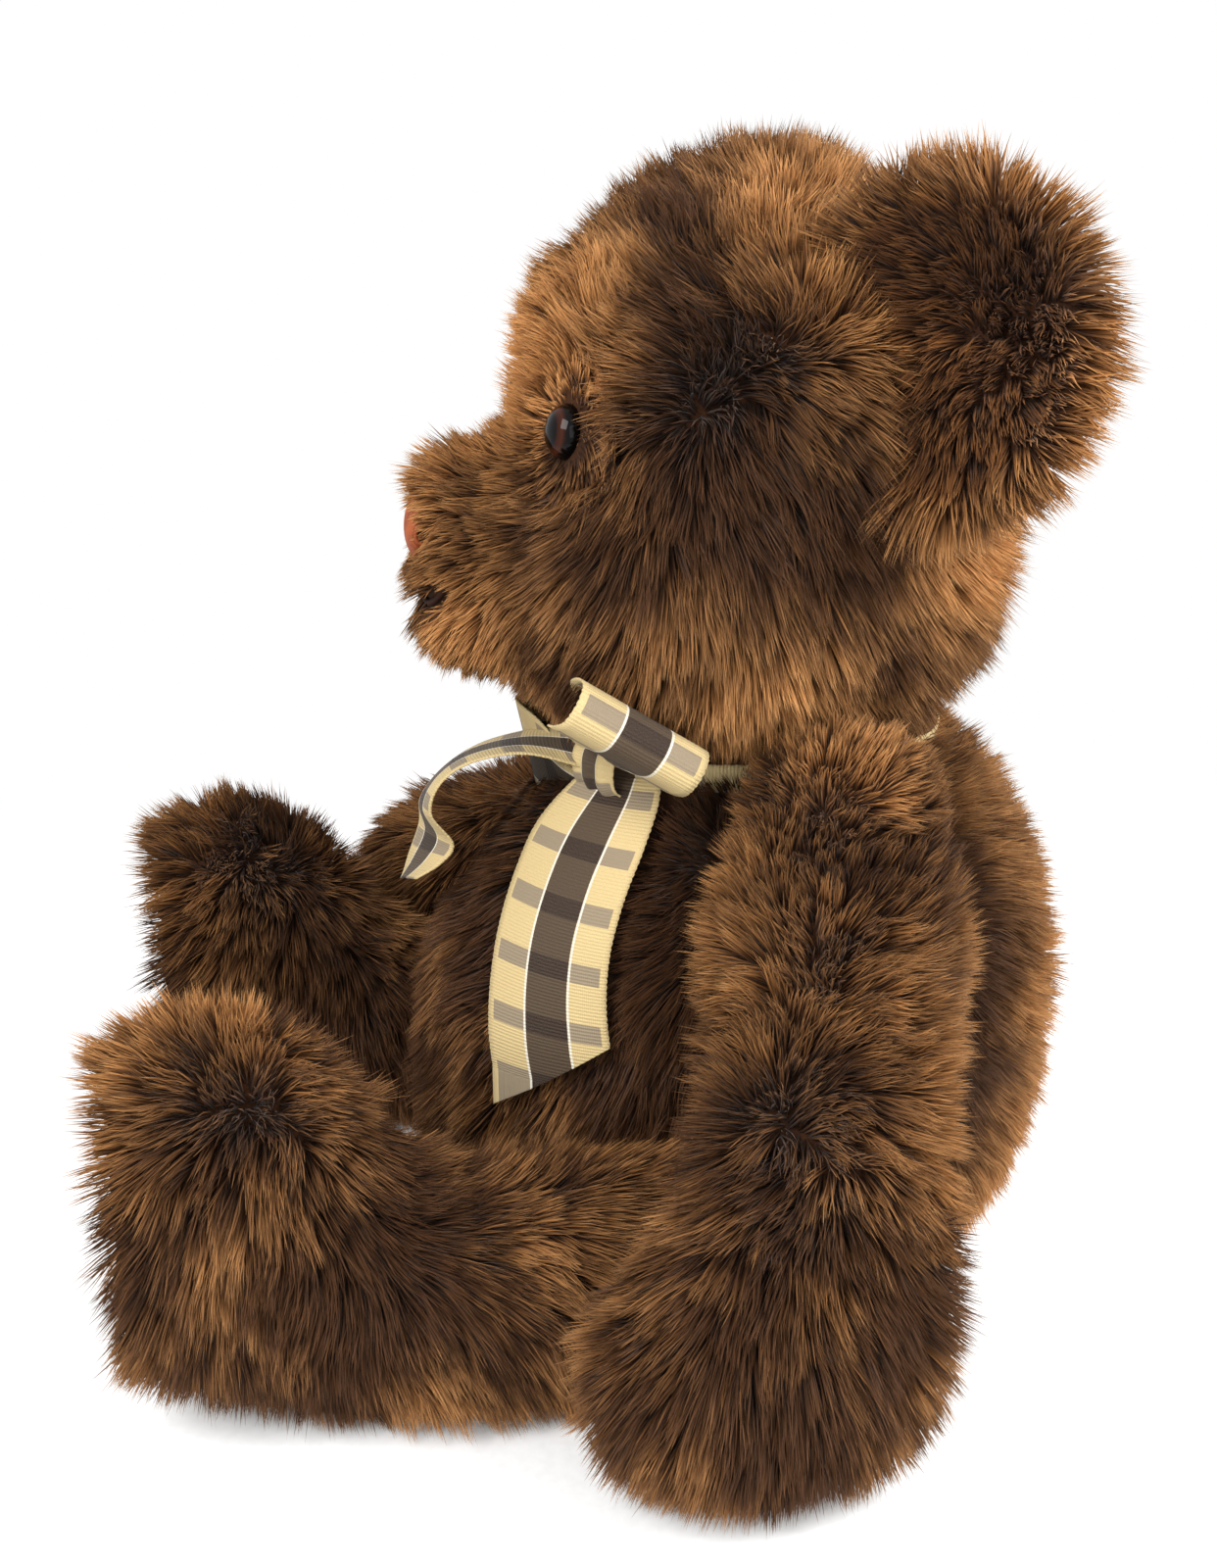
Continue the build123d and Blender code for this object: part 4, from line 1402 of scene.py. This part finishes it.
def makeStage():
    corners = [(x * stage["half"], y * stage["half"], 0) for x, y in ((-1, -1), (1, -1), (1, 1), (-1, 1))]
    floor = meshFrom("floor", corners, [(0, 1, 2, 3)])
    material = bpy.data.materials.new("floor_paper")
    material.use_nodes = True
    graph = Graph(material.node_tree)
    shader = material.node_tree.nodes["Principled BSDF"]
    paper, _ = cloudy(graph, objectPlace(graph), 400, 2, (246, 246, 246), (252, 252, 252))
    graph.put(shader.inputs["Base Color"], paper)
    shader.inputs["Roughness"].default_value = 0.95
    # the paper fades to plain white away from the bear
    away = graph.vector("LENGTH", objectPlace(graph))
    glow = graph.node("ShaderNodeEmission", None, {"Color": (1, 1, 1, 1), "Strength": 1.0})
    settings = {"interpolation_type": "SMOOTHSTEP"}
    values = {0: away, 1: stage["plainFrom"], 2: stage["plainAt"]}
    fade = graph.node("ShaderNodeMapRange", settings, values)
    values = {0: fade, 1: Wire(graph, shader.outputs[0]), 2: glow}
    blend = graph.node("ShaderNodeMixShader", None, values)
    graph.put(material.node_tree.nodes["Material Output"].inputs["Surface"], blend)
    floor.data.materials.append(material)
    world = bpy.data.worlds.new("studio")
    scene.world = world
    world.use_nodes = True
    # pure white where it is seen, dimmer where it only lights
    graph = Graph(world.node_tree)
    path = graph.node("ShaderNodeLightPath")
    seen = path.high(path.other("Is Glossy Ray")).high(path.other("Is Transmission Ray"))
    strength = seen * (1.0 - stage["sky"]) + stage["sky"]
    back = world.node_tree.nodes["Background"]
    back.inputs["Color"].default_value = (1, 1, 1, 1)
    graph.put(back.inputs["Strength"], strength)


lamps = {
    # place, aim, then size in metres and power in watts
    "key": ((620, -760, 900), (0, 0, 120), 0.7, 17.0),
    "back": ((300, 760, 760), (0, 20, 130), 0.8, 16.0),
    "fill": ((900, 200, 350), (0, 0, 100), 0.9, 4.0),
}


def makeLamps():
    for name, (place, aim, size, power) in lamps.items():
        lamp = bpy.data.lights.new(name, "AREA")
        lamp.size, lamp.energy = size, power
        thing = newObject(name, lamp)
        thing.location = Vector(place) * mm
        way = Vector(aim) - Vector(place)
        thing.rotation_euler = way.to_track_quat("-Z", "Y").to_euler()


makeStage()
makeLamps()
scene.view_settings.view_transform = "Standard"
print("stage lit")
